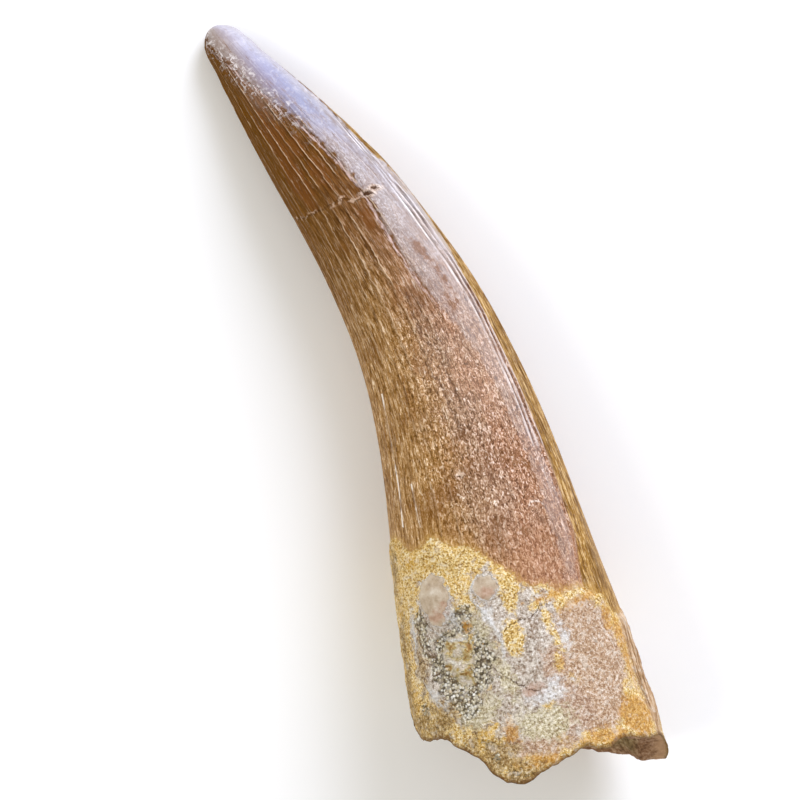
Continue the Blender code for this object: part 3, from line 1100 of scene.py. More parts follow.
class Enamel:
    """The crown's enamel, as coats of colour and relief from the lowest to the topmost."""

    def __init__(self, shading: Shading, shades: EnamelShades) -> None:
        """Makes the patterns and masks that several coats share.

        Args:
            shading: the material.
            shades: the enamel's shades.
        """
        add, grain = shading.add, shading.grain
        self.shading, self.shades = shading, shades
        self.layers: list[tuple[Any, float, Any]] = []
        self.relief: list[tuple[Any, float]] = []
        # Striations about 0.3 mm apart, flecks of 0.2 by 0.4 mm, and clouds of 2 mm.
        self.streak = add(NOISE, {}, Vector=grain, Scale=5.8, Detail=4.0, Roughness=0.78)
        self.short = short = add(VECTOR, TIMES, grain, (1.0, 1.0, 3.0))
        self.fleck = add(NOISE, {}, Vector=short, Scale=7.2, Detail=2.0, Roughness=0.80, Distortion=1.2)
        self.broad = add(NOISE, {}, Vector=shading.mm, Scale=0.45, Detail=4.0, Roughness=0.65)
        # Lines on the enamel are broken up by flecks, or come and go in beads.
        self.broken = add(RANGE, SOFT, self.fleck, 0.42, 0.52)
        beads = add(VECTOR, TIMES, grain, (1.6, 1.6, 3.0))
        beads = add(NOISE, {}, Vector=beads, Scale=1.0, Detail=3.0)
        self.beads = add(RANGE, SOFT, beads, 0.40, 0.54, 0.12)
        # The worn face, and the share of it that stains leave free.
        self.stained = shading.within(Mark.STAINED, 2.0, 0.30, -0.10, 0.25)
        worn = shading.within(Mark.WORN, 1.6, 0.30, -0.08, 0.22)
        self.worn = add(MATH, TIMES, worn, Mark.WORN_STRENGTH)
        spared = add(RANGE, {}, self.stained, 0.0, 1.0, 1.0, 0.25)
        self.spared = add(MATH, TIMES, spared, self.worn)
        # Towards the side that faces the window: more painted sheen, more scuffs and more gloss.
        self.rightmost = add(RANGE, SOFT, Mark.SIDE, 0.25, 0.85, 0.0, 0.36)
        self.beyond = add(RANGE, SOFT, Mark.BEYOND, 0.0, 0.3)

    def build(self) -> tuple[Any, Any, Any, Any]:
        """Lays the coats over one another.

        Returns:
            Sockets for the enamel's colour, roughness, gloss and height in millimetres.
        """
        shading, add = self.shading, self.shading.add
        ground = self.ground()
        self.golden_strip()
        self.drawn_lines()
        self.ridges()
        pale, pitted = self.worn_face()
        painted_glint_lines = self.shoulder_lines()
        chip = self.crack()
        rough = add(MIX, {}, self.worn, None, 0.48, 0.25)
        rough = add(MATH, TIMES_PLUS, pale, 0.08, rough)
        dull = add(RANGE, {}, self.beyond, 0.0, 1.0, 0.06, 0.03)
        shine = add(MATH, PLUS, self.rightmost, 0.55)
        shine = add(MATH, TIMES_PLUS, pitted, -0.35, shine)
        gloss = add(MIX, {}, self.spared, None, dull, shine)
        gloss = add(MATH, TIMES_PLUS, painted_glint_lines, 0.5, gloss)
        gloss = add(MIX, {}, chip, None, gloss, 0.05)
        return shading.painted(ground, self.layers), rough, gloss, shading.raised(self.relief)

    def ground(self) -> Any:
        """The brown of the enamel, golden to rosy low on the crown and darker above.

        Returns:
            The colour underneath every layer.
        """
        shading, add, broad = self.shading, self.shading.add, self.broad
        # Flecks take over from the striations low on the crown, least of all at its left side.
        low = add(MATH, TIMES_PLUS, broad, 10.0, Mark.ALONG)
        low = add(RANGE, SOFT, low, 39.0, 29.0)
        flecked = add(MATH, TIMES, low, add(RANGE, SOFT, Mark.SIDE, -0.80, -0.20, 0.35))
        flecked = add(MATH, TIMES, flecked, 0.78)
        darker = add(MATH, PLUS, self.fleck, -0.012)
        pattern = add(MIX, {}, flecked, None, self.streak, darker)
        # Towards the root the pattern gets calmer.
        calm = add(RANGE, SOFT, Mark.ALONG, 11.0, 19.0, 0.55, 1.0)
        pattern = add(MIX, {}, calm, None, 0.5, pattern)
        shades = (self.shades.golden, self.shades.rosy, self.shades.upper, self.shades.grey)
        golden, rosy, upper, grey = (add(RAMP, {"stops": stops}, pattern) for stops in shades)
        rightwards = add(MATH, TIMES_PLUS, broad, 0.7, Mark.SIDE)
        rightwards = add(RANGE, SOFT, rightwards, -0.25, 0.75)
        high = add(RANGE, SOFT, Mark.ALONG, 24.5, 39.0)
        weathered = shading.within(Mark.WEATHERED, 1.4, 0.70, -0.50, 0.70)
        amber = add(RANGE, SOFT, broad, 0.50, 0.68)
        # It is rosier beside the worn tip; its upper left, turned from the window, is painted darker and
        # warmer as shade; and a paler belt crosses its rosy side.
        near_tip = add(RANGE, SOFT, Mark.ALONG, 41.0, 44.5)
        near_tip = add(MATH, TIMES, near_tip, add(RANGE, SOFT, Mark.SIDE, -0.75, -0.20))
        painted_left_shade = add(MATH, TIMES, add(RANGE, SOFT, Mark.SIDE, -0.20, -0.85), high)
        belt = shading.line(add(MATH, PLUS, Mark.ALONG, -23.8), 3.8, 1.2)
        belt = add(MATH, TIMES, belt, rightwards)
        self.layers += [
            (rightwards, 1.0, rosy), (high, 1.0, upper), (weathered, 0.34, grey), (amber, 0.45, "#74460F"),
            (near_tip, 0.36, "#A58370"), (painted_left_shade, 0.34, "#825608"), (belt, 0.12, "#E6C6AC"),
            (self.stained, 0.70, "#784616"),
        ]
        flat = add(RANGE, {}, self.worn, 0.0, 1.0, 1.0, 0.12)
        self.relief.append((add(MATH, TIMES, pattern, flat), 0.07))
        return golden

    def golden_strip(self) -> None:
        """The lighter, yellower brown beyond the shoulder, with darker shades drawn out in it."""
        add = self.shading.add
        strip = add(RAMP, {"stops": self.shades.strip}, self.streak)
        shaded = add(NOISE, {}, Vector=self.shading.grain, Scale=1.9, Detail=3.0, Roughness=0.6)
        shaded = add(MATH, TIMES, add(RANGE, SOFT, shaded, 0.49, 0.39), self.beyond)
        self.layers += [(self.beyond, 0.90, strip), (shaded, 0.72, "#6A4618")]

    def drawn_lines(self) -> None:
        """Fine dark and pale lines that run on between the ridges."""
        add = self.shading.add
        drawn = add(VECTOR, TIMES, self.shading.grain, (1.0, 1.0, 0.55))
        drawn = add(NOISE, {}, Vector=drawn, Scale=3.0, Detail=2.0, Roughness=0.6)
        dark = add(RAMP, peaks((0.475, 0.492, 0.509)), drawn)
        pale = add(MATH, TIMES, add(RAMP, peaks((0.505, 0.519, 0.533)), drawn), self.broken)
        self.layers += [(dark, 0.40, "#54381C"), (pale, 0.35, "#E6CFB4")]

    def ridges(self) -> None:
        """The ridges' crests as thin pale lines, each with a dark line of painted shade on one side."""
        shading, add = self.shading, self.shading.add
        kinks = add(VECTOR, TIMES, shading.grain, (1.0, 1.0, 9.0))
        kinks = add(NOISE, {}, Vector=kinks, Scale=1.3, Detail=4.0, Roughness=0.6)
        phase = add("ShaderNodeSeparateXYZ", {}, add("ShaderNodeUVMap", {"uv_map": SKIN_MAP}))
        phase = add(MATH, TIMES_PLUS, kinks, 0.34, phase)
        turn = add(MATH, FRACTION, add(MATH, PLUS, phase, 0.33))
        beads = add(MATH, TIMES, self.beads, Mark.CREST)
        crest = add(MATH, TIMES, add(RAMP, peaks((0.445, 0.49, 0.51, 0.555)), turn), beads)
        # A dark line on one side of each crest is painted shade.
        painted_ridge_shade = add(MATH, TIMES, add(RAMP, peaks((0.56, 0.62, 0.76)), turn), beads)
        # A few places catch the light as bright lines, faint and broken on the worn face.
        bright = shading.line(Mark.BRIGHT, 0.09, 0.02)
        bright = add(MATH, TIMES, bright, self.beads)
        faint = add(RANGE, SOFT, Mark.SIDE, -0.4, 0.2, 1.0, 0.0)
        faint = add(MATH, TIMES_PLUS, self.broken, 0.55, faint)
        bright = add(MATH, TIMES | {"use_clamp": True}, bright, faint)
        self.layers += [(painted_ridge_shade, 0.45, "#3E240C"), (crest, 0.90, "#ECCFAE"), (bright, 0.95, "#FFF3E6")]
        self.relief += [(crest, 0.02), (painted_ridge_shade, -0.012)]

    def worn_face(self) -> tuple[Any, Any]:
        """The worn and polished face: its border, pale wear with painted sheen, scuffs, pits and
        scratches.

        Returns:
            Masks of its pale wear and painted sheen, and of its pitted part.
        """
        shading, add, spared = self.shading, self.shading.add, self.spared
        # Its left border is a pale line with a dark one beside it.
        hem = add(RANGE, {}, shading.ragged(Mark.WORN, 1.2, 0.14), -0.6, 0.6)
        share = add(MATH, TIMES, add(RANGE, SOFT, self.streak, 0.44, 0.54), Mark.HEM)
        hem_pale = add(MATH, TIMES, add(RAMP, peaks((0.28, 0.34, 0.42, 0.46)), hem), share)
        hem_dark = add(MATH, TIMES, add(RAMP, peaks((0.46, 0.50, 0.56)), hem), share)
        # Pale scratches, thickest at the tip and on its right: partly wear, partly painted reflection.
        scratch = add(NOISE, {}, Vector=self.short, Scale=1.7, Detail=6.0, Roughness=0.7)
        pale = add(MATH, PLUS, scratch, add(RANGE, SOFT, Mark.ALONG, 36.0, 46.0, 0.0, 0.16))
        pale = add(RANGE, SOFT, pale, 0.43, 0.63, 0.05, 0.62)
        pale = add(MATH, TIMES, add(MATH, PLUS, pale, self.rightmost), spared)
        # Its painted reflection of the window is greyer on the left and whiter at the right border.
        painted_sheen = add(RAMP, {"stops": self.shades.painted_sheen}, add(RANGE, {}, Mark.ALONG, 29.0, 49.0))
        leftmost = add(RANGE, SOFT, Mark.SIDE, 0.50, -0.20, 0.0, 0.8)
        border = add(RANGE, SOFT, Mark.SIDE, 0.60, 1.0, 0.0, 0.75)
        painted_sheen = shading.painted(painted_sheen, [(leftmost, 1.0, "#A3958B"), (border, 1.0, "#B6AFB4")])
        # White scuffs lie along its left border and over the tip, and fewer all over it.
        scuffed = add(RANGE, {}, Mark.WORN, -1.4, 1.8)
        scuffed = add(RAMP, peaks((0.15, 0.36, 0.55, 0.72)), scuffed)
        scuffed = add(MATH, TIMES, scuffed, add(RANGE, SOFT, Mark.ALONG, 38.5, 43.5))
        mottled = add(MATH, TIMES, add(RANGE, {}, self.rightmost, 0.0, 0.36, 0.15, 0.35), spared)
        scuffed = add(MATH, GREATER, scuffed, mottled)
        scuffs = add(NOISE, {}, Vector=shading.mm, Scale=2.8, Detail=5.0, Roughness=0.75, Distortion=0.8)
        dark_scuffs = add(MATH, TIMES, add(RANGE, SOFT, scuffs, 0.45, 0.37), scuffed)
        scuffs = add(MATH, TIMES, add(RANGE, SOFT, scuffs, 0.52, 0.60), scuffed)
        # Its left part is finely pitted below the tip, down to a smooth, painted mauve sheen on its right.
        pitted = add(MATH, TIMES, add(RANGE, SOFT, Mark.ALONG, 42.0, 38.5), spared)
        pitted = add(MATH, TIMES, pitted, add(RANGE, SOFT, Mark.SIDE, 0.68, 0.48, 0.25))
        pits = add(MATH, TIMES, add(RANGE, SOFT, self.fleck, 0.48, 0.40), pitted)
        specks = add(MATH, TIMES, add(RANGE, SOFT, self.fleck, 0.53, 0.61), pitted)
        scratches = shading.line(shading.ragged(Mark.SCRATCH, 2.2, 0.22), 0.10, 0.02)
        scratches = add(MATH, TIMES, scratches, self.beads)
        self.layers += [
            (hem_pale, 0.75, "#E8CDC6"), (hem_dark, 0.60, "#4C3226"), (pale, 1.0, painted_sheen),
            (dark_scuffs, 0.75, "#765E4E"), (scuffs, 0.70, "#EEE6E4"), (pitted, 0.50, "#9C8C82"),
            (pits, 0.72, "#75594B"), (specks, 0.50, "#E2D6D4"), (scratches, 0.60, "#553828"),
        ]
        self.relief += [(scratch, 0.02), (hem_dark, -0.03), (hem_pale, 0.02)]
        return pale, pitted

    def shoulder_lines(self) -> Any:
        """Painted highlight on the shoulder's lips, and painted shade in the grooves between them.

        Returns:
            A mask of the pale lines of painted highlight.
        """
        shading, add = self.shading, self.shading.add
        across = add(RANGE, {}, shading.ragged(Mark.SHOULDER, 1.6, 0.10, shading.grain), -0.6, 0.6)
        # Pale lines on the lips are painted highlight; dark lines in the grooves are painted shade.
        pale = add(RAMP, peaks((0.21, 0.27, 0.33), (0.45, 0.51, 0.57), (0.68, 0.75, 0.84)), across)
        pale = add(MATH, TIMES, pale, Mark.LINES)
        dark = add(RAMP, peaks((0.34, 0.39, 0.44), (0.58, 0.63, 0.68)), across)
        dark = add(MATH, TIMES, dark, Mark.LINES)
        self.layers += [(dark, 0.85, "#54342E"), (pale, 0.85, "#F0E2DC")]
        self.relief += [(pale, 0.03), (dark, -0.05)]
        return pale

    def crack(self) -> Any:
        """The crack across the crown with its pale flecks, and the chips.

        Returns:
            A mask of the chips.
        """
        shading, add = self.shading, self.shading.add
        whole = add(RANGE, SOFT, self.worn, 0.6, 0.2)
        crack = add(MATH, TIMES, shading.line(Mark.CRACK, 0.07, 0.02), whole)
        flecks = add(MATH, TIMES, shading.line(Mark.CRACK, 0.30, 0.05), whole)
        spots = add(NOISE, {}, Vector=shading.mm, Scale=3.2, Detail=2.0)
        flecks = add(MATH, TIMES, flecks, add(RANGE, SOFT, spots, 0.52, 0.62))
        chip = shading.within(Mark.CHIP, 6.0, 0.05, -0.02, 0.04)
        rims = add(MATH, TIMES, add(RANGE, SOFT, Mark.CHIP, -0.16, -0.06), self.broken)
        self.layers += [
            (crack, 0.25, "#4A2E14"), (flecks, 0.70, "#E0BFA4"), (rims, 0.65, "#E6CDB8"),
            (chip, 0.95, "#4E2E14"),
        ]
        self.relief += [(crack, -0.05), (chip, -0.03)]
        return chip


@dataclass(frozen=True)
class FossilFinish:
    """Fossil enamel, dentine and cemented phosphate sand, as ground and mineral water left them.

    Enamel is apatite: brown from iron, glossy where it is polished, with pale lines along its ridges'
    crests and pale flecks where its outermost skin has gone; a sheen of reflected light is painted on
    its polished face, and shade beside its ridges and shoulder lines. The coating is sand grains of
    about 0.2 mm in an ochre cement, with smooth grey phosphate where that has flaked off.
    """

    name: str = "fossil_enamel_and_phosphate_crust"
    ior: float = 1.63  # apatite
    shades: EnamelShades = EnamelShades()
    sand: Stops = ((0.05, "#615439"), (0.30, "#ADA081"), (0.55, "#E2D8BF"), (0.80, "#FFFCF2"))

    def build(self) -> bpy.types.Material:
        """The material.

        Returns:
            A material that reads the marks of the tooth's mesh.
        """
        shading = Shading(self.name)
        add = shading.add
        enamel, rough, gloss, height = Enamel(shading, self.shades).build()
        crust, crust_height = self.crust(shading)
        broken, broken_height = self.broken(shading)
        edge = shading.ragged(Mark.COVER, 5.0, 0.30)
        tint = add(RANGE, SOFT, edge, -0.55, 0.10, 0.0, 0.55)
        cover = add(RANGE, SOFT, edge, -0.12, 0.12)
        inside = add(RANGE, SOFT, Mark.BROKEN, 0.01, 0.05)
        coats = [(tint, 1.0, "#C69A50"), (cover, 1.0, crust), (inside, 1.0, broken)]
        colour = shading.painted(enamel, coats)
        rough = add(MIX, {}, cover, None, rough, 0.85)
        rough = add(MIX, {}, inside, None, rough, 0.8)
        gloss = add(MIX, {}, cover, None, gloss, 0.15)
        height = add(MIX, {}, cover, None, height, crust_height)
        height = add(MIX, {}, inside, None, height, broken_height)
        normal = add("ShaderNodeBump", {}, Strength=1.0, Distance=MM, Height=height)
        surface = {"Base_Color": colour, "Roughness": rough, "Specular_IOR_Level": gloss, "Normal": normal}
        shader = add(SURFACE, {}, IOR=self.ior, **surface)
        add(OUTPUT, {}, Surface=shader)
        return shading.material

    def crust(self, shading: Shading) -> tuple[Any, Any]:
        """The sand coating of the root.

        Args:
            shading: the material.

        Returns:
            Sockets for its colour and its height in millimetres.
        """
        add, ragged, within = shading.add, shading.ragged, shading.within
        fine = add(NOISE, {}, Vector=shading.mm, Scale=6.4, Detail=2.0, Roughness=0.75)
        broad = add(NOISE, {}, Vector=shading.mm, Scale=0.8, Detail=3.0, Roughness=0.6)
        # Blotches of about 0.7 mm over all of it.
        blotch = add(NOISE, {}, Vector=shading.mm, Scale=1.9, Detail=3.0, Roughness=0.65)
        # Loose sand: dark and cream grains of about 0.18 mm, packed together.
        away = add("ShaderNodeTexVoronoi", {}, Vector=shading.mm, Scale=5.6, output="Distance")
        shade = add("ShaderNodeSeparateColor", {}, away.node.outputs["Color"])
        gap = add(RANGE, SOFT, away, 0.40, 0.75)
        grains = shading.painted(add(RAMP, {"stops": self.sand}, shade), [(gap, 1.0, "#453921")])
        sand = within(Mineral.SAND, 1.6, 0.75, -0.10, 0.30)
        # White broken edges and hairline cracks, with gaps.
        border = ragged(Mineral.SMOOTH, 2.0, 0.22)
        smooth = add(RANGE, SOFT, border, -0.04, 0.06)
        gaps = add(RANGE, SOFT, fine, 0.46, 0.54, 0.20)
        rim = add(MATH, TIMES, shading.line(border, 0.10, 0.02), gaps)
        white = shading.line(ragged(Mark.WHITE_EDGE, 2.5, 0.10), 0.16, 0.04)
        white = add(MATH, TIMES, white, gaps)
        crack = shading.line(ragged(Mark.FISSURE, 2.5, 0.14), 0.055, 0.01)
        crack = add(MATH, TIMES, crack, add(RANGE, SOFT, fine, 0.56, 0.46))
        layers = [
            (add(RANGE, SOFT, broad, 0.48, 0.66), 0.38, "#DDAA3C"),
            (add(RANGE, SOFT, broad, 0.44, 0.30), 0.25, "#B8935E"),
        ]
        for mineral, layer in LAYERS.items():
            if mineral is Mineral.PALE:
                layers.append((sand, 0.86, grains))
            place = add(VECTOR, TIMES, shading.grain, (1.0, 1.0, layer.stretch)) if layer.stretch else None
            mask = within(mineral, layer.per_mm, layer.rag, -layer.soft, layer.soft)
            layers.append((mask, layer.share, layer.speckle.build(shading, place)))
        layers += [
            (add(RANGE, SOFT, blotch, 0.47, 0.36), 0.28, "#8C6844"),
            (add(RANGE, SOFT, blotch, 0.53, 0.64), 0.32, "#EDE4D6"),
            (within(Mineral.OVAL, 2.5, 0.30, -0.10, 0.15), 0.90, OVAL_KNOBS.build(shading)),
            (smooth, 0.95, SMOOTH_GREY.build(shading)),
            (within(Mineral.ROSY, 2.2, 0.25, -0.15, 0.20), 0.70, ROSY_BROWN.build(shading)),
            (rim, 0.75, "#F1EDE8"),
            (white, 0.75, "#EEECE8"),
            (crack, 0.85, "#5A3F26"),
            # A darker brown along the broken edge is painted shade, as of the shadow under its rim.
            (within(Mark.EDGE, 3.0, 0.15, 0.34, 0.06), 0.75, "#6A4622"),
        ]
        dull = add(RANGE, {}, smooth, 0.0, 1.0, 1.0, 0.25)
        height = shading.raised([
            (add(MATH, TIMES, fine, dull), 0.15), (add(MATH, TIMES, gap, sand), -0.07), (white, 0.03),
            (rim, 0.03), (crack, -0.05),
        ])
        return shading.painted(OCHRE_SAND.build(shading), layers), height

    def broken(self, shading: Shading) -> tuple[Any, Any]:
        """The break: brown dentine, and the sand-filled cavity inside it.

        Args:
            shading: the material.

        Returns:
            Sockets for its colour and its height in millimetres.
        """
        fine = shading.add(NOISE, {}, Vector=shading.mm, Scale=3.0, Detail=5.0, Roughness=0.7)
        deep = shading.add(RANGE, SOFT, Mark.BROKEN, 0.34, 0.50)
        rind = shading.within(Mark.BROKEN, 2.2, 0.09, 0.25, 0.08)
        layers = [(deep, 1.0, SAND_FILLING.build(shading)), (rind, 0.70, "#C79E76")]
        return shading.painted(DENTINE.build(shading), layers), shading.raised([(fine, 0.22)])


@dataclass(frozen=True)
class SandFinish:
    """Phosphate sand: dull, rounded grains from dark brown over grey to cream."""

    name: str = "phosphate_sand_grains"
    roughness: float = 0.7
    ior: float = 1.6
    gloss: float = 0.3
    shades: Stops = (
        (0.0, "#5C5038"), (0.25, "#857960"), (0.50, "#AFA388"), (0.70, "#CFC4A8"), (0.90, "#E9E2CE"),
        (1.0, "#C39A58"),
    )

    def build(self) -> bpy.types.Material:
        """The material.

        Returns:
            A material that colours each grain by its tint.
        """
        shading = Shading(self.name)
        colour = shading.add(RAMP, {"stops": self.shades}, Mark.TINT)
        surface = {"Base_Color": colour, "Roughness": self.roughness, "Specular_IOR_Level": self.gloss}
        shader = shading.add(SURFACE, {}, IOR=self.ior, **surface)
        shading.add(OUTPUT, {}, Surface=shader)
        return shading.material


@dataclass(frozen=True)
class PlainFinish:
    """A matt painted board, for the floor: plain white, with no gloss to catch the lights."""

    name: str = "matt_white_board"
    colour: str = "#FFFFFF"
    roughness: float = 0.9

    def build(self) -> bpy.types.Material:
        """The material.

        Returns:
            A plain material.
        """
        material = bpy.data.materials.new(self.name)
        material.use_nodes = True
        shader = material.node_tree.nodes["Principled BSDF"]
        shader.inputs["Base Color"].default_value = linear(self.colour)
        shader.inputs["Roughness"].default_value = self.roughness
        return material


# --- pieces ----------------------------------------------------------------------------------


def put(name: str, data: Any) -> bpy.types.Object:
    """Adds an object to the scene.

    Args:
        name: its name.
        data: its mesh, light or camera.

    Returns:
        The object.
    """
    thing = bpy.data.objects.new(name, data)
    bpy.context.scene.collection.objects.link(thing)
    return thing


@dataclass(frozen=True)
class Tooth:
    """The whole tooth as one fine closed surface."""

    form: ToothForm = field(default_factory=ToothForm)
    crown: Crown = field(default_factory=Crown)
    coating: Coating = field(default_factory=Coating)
    end: BrokenEnd = field(default_factory=BrokenEnd)
    columns: int = 360
    # Columns stand closer on top than on the side that the tooth lies on.
    crowding: float = 0.35
    cap_rows: int = 12
    crown_rows: int = 122
    root_rows: int = 104
    inside_rows: int = 32
    # Rows are closer together where the crack runs: (share of the crown's rows, along)
    close_rows: Stations = ((0.26, 37.4), (0.46, 34.6))
    # Striations are read on a circle, a unit of which is about 1 mm round the crown, and along it
    # they are drawn out about six times as far.
    grain_round: float = 5.0
    grain_along: float = 0.035
    name: str = "tooth_surface"

    @property
    def outside_rows(self) -> int:
        """Rows of the outer surface, from the tip to the broken edge."""
        return self.cap_rows + self.crown_rows + self.root_rows

    @property
    def rows(self) -> int:
        """All rows, from the tip to the middle of the cavity's floor."""
        return self.outside_rows + self.inside_rows

    def outside_along(self, angle: np.ndarray, row: np.ndarray) -> np.ndarray:
        """Distance along the axis of the outer surface's rows.

        Args:
            angle: degrees round the tooth.
            row: rows counted from the tip.

        Returns:
            The distances.
        """
        start = self.form.tip_along - self.form.tip_cap
        seam = through(self.coating.edge, turned(angle))
        bottom = self.end.rough_edge_at(angle)
        cap = start + self.form.tip_cap * np.cos(np.pi / 2 * np.minimum(row / self.cap_rows, 1.0))
        share = np.clip((row - self.cap_rows) / self.crown_rows, 0.0, 1.0)
        (share_a, along_a), (share_b, along_b) = self.close_rows
        upper = start + (along_a - start) * share / share_a
        middle = along_a + (along_b - along_a) * (share - share_a) / (share_b - share_a)
        lower = along_b + (seam - along_b) * (share - share_b) / (1.0 - share_b)
        crown = np.where(share < share_a, upper, np.where(share < share_b, middle, lower))
        last = self.cap_rows + self.crown_rows
        root = seam + (bottom - seam) * np.clip((row - last) / self.root_rows, 0.0, 1.0)
        return np.where(row <= self.cap_rows, cap, np.where(row <= last, crown, root))

    def relief(self, skin: Skin) -> np.ndarray:
        """Millimetres that the finished surface stands out from the smooth body."""
        bare = 1.0 - smooth_step(self.coating.cover(skin), 0.0, 0.5)
        return self.crown.relief(skin) * (0.25 + 0.75 * bare) + self.coating.relief(skin)

    def marks(self, skin: Skin) -> dict[Enum, np.ndarray]:
        """What the finish needs at each place.

        Args:
            skin: where.

        Returns:
            The marks, in millimetres or shares.
        """
        angle, along, form = turned(skin.angle), skin.along, skin.form
        coating, crown = self.coating, self.crown
        across = crown.from_shoulder(skin)
        beyond = np.clip(-0.2 - across, 0.0, 3.0) * smooth_step(angle, -75.0, -35.0)
        crest = 0.15 + 0.85 * smooth_step(along, 24.0, 33.0)
        crest = crest * crown.ridge_strength(skin, crown.ridge_phase(skin))
        crest = crest * (1.0 - 0.75 * smooth_step(crown.worn(skin), -0.1, 0.6))
        lines = (0.15 + 0.85 * smooth_step(along, 14.0, 22.0)) * (1.0 - smooth_step(along, 40.0, 45.0))
        lines = lines * np.clip(0.70 + 1.4 * clouds(skin.points, 1.3, 61.0), 0.0, 1.0)
        marks = {
            Mark.ALONG: along,
            Mark.SIDE: np.cos(np.radians(angle)),
            Mark.COVER: coating.cover(skin),
            Mark.EDGE: along - self.end.rough_edge_at(skin.angle),
            Mark.WORN: crown.worn(skin),
            Mark.WORN_STRENGTH: through(crown.worn_strength, along),
            Mark.HEM: smooth_step(angle, 30.0, 50.0) * smooth_step(along, 26.0, 31.0),
            Mark.CRACK: crown.crack_away(skin),
            Mark.CREST: crest,
            Mark.SHOULDER: across,
            Mark.LINES: lines,
            Mark.BRIGHT: nearest(crown.bright_lines, angle, along, form),
            Mark.SCRATCH: nearest(crown.scratches, angle, along, form),
            Mark.WEATHERED: deepest(crown.weathered, angle, along, form),
            Mark.STAINED: deepest(crown.stained, angle, along, form),
            Mark.BEYOND: beyond * (1.0 - smooth_step(along, 38.5, 44.0)),
            Mark.CHIP: deepest(crown.chips, angle, along, form),
            Mark.WHITE_EDGE: nearest(coating.white_edges, angle, along, form),
            Mark.FISSURE: nearest(coating.fissures, angle, along, form),
        }
        return marks | {mineral: coating.inside(skin, mineral) for mineral in Mineral}

    def mark_mesh(self, mesh: bpy.types.Mesh, skin: Skin, depth: np.ndarray) -> None:
        """Gives the mesh its marks, its grain, and the map that counts the ridges.

        Args:
            mesh: the sheet.
            skin: its places.
            depth: shares of the way from the broken edge to the middle of the cavity's floor.
        """
        for mark, values in (self.marks(skin) | {Mark.BROKEN: depth}).items():
            layer = mesh.attributes.new(mark.value, "FLOAT", "POINT")
            layer.data.foreach_set("value", np.clip(values, LEAST, FAR).astype(np.float32))
        turn = np.radians(skin.angle)
        grain = np.stack([np.cos(turn), np.sin(turn), skin.along * self.grain_along], 1)
        layer = mesh.attributes.new(Mark.GRAIN.value, "FLOAT_VECTOR", "POINT")
        layer.data.foreach_set("vector", (grain * self.grain_round).astype(np.float32).ravel())
        corners = np.empty(len(mesh.loops), np.int32)
        mesh.loops.foreach_get("vertex_index", corners)
        skin_map = np.stack([self.crown.ridge_phase(skin), skin.along / self.form.tip_along], 1)
        layer = mesh.uv_layers.new(name=SKIN_MAP)
        layer.data.foreach_set("uv", skin_map[corners].astype(np.float32).ravel())

    def build(self) -> bpy.types.Object:
        """Models the tooth.

        Returns:
            The finished tooth, at the origin, with its place in its mesh.
        """
        working = bmesh.new()
        bmesh.ops.create_grid(working, x_segments=self.columns, y_segments=self.rows, size=0.5)
        mesh = bpy.data.meshes.new(self.name)
        working.to_mesh(mesh)
        flat = np.empty(len(mesh.vertices) * 3, np.float32)
        mesh.vertices.foreach_get("co", flat)
        flat = flat.reshape(-1, 3).astype(float)
        share = np.round((flat[:, 0] + 0.5) * self.columns) / self.columns
        row = np.round((flat[:, 1] + 0.5) * self.rows)
        angle = -90.0 + 360.0 * (share + self.crowding * np.sin(2.0 * np.pi * share) / (2.0 * np.pi))
        along = self.outside_along(angle, np.minimum(row, self.outside_rows))
        skin = Skin.at(self.form, angle, along)
        relief = self.relief(skin)
        radius = self.form.radius(along)
        points = self.form.place(angle, along, np.where(row > 0, np.maximum(0.0, radius + relief), 0.0))
        depth = np.clip((row - self.outside_rows) / self.inside_rows, 0.0, 1.0)
        inner = self.end.inside(self.form, angle, depth, relief)
        points[row > self.outside_rows] = inner[row > self.outside_rows]
        mesh.vertices.foreach_set("co", (points * MM).astype(np.float32).ravel())
        self.mark_mesh(mesh, skin, depth)
        self.close(working, mesh, share, row)
        working.free()
        mesh.shade_smooth()
        return put(self.name, mesh)

    def close(
        self, working: bmesh.types.BMesh, mesh: bpy.types.Mesh, share: np.ndarray, row: np.ndarray
    ) -> None:
        """Joins the sheet's two long sides, and closes it at the tip and inside the cavity.

        Args:
            working: an emptied bmesh to work in.
            mesh: the sheet, already in place.
            share: each point's place from one long side to the other.
            row: each point's row.
        """
        working.clear()
        working.from_mesh(mesh)
        working.verts.ensure_lookup_table()
        border = np.flatnonzero((share <= 0.0) | (share >= 1.0) | (row <= 0) | (row >= self.rows))
        bmesh.ops.remove_doubles(working, verts=[working.verts[i] for i in border], dist=1e-7)
        bmesh.ops.recalc_face_normals(working, faces=working.faces)
        working.to_mesh(mesh)


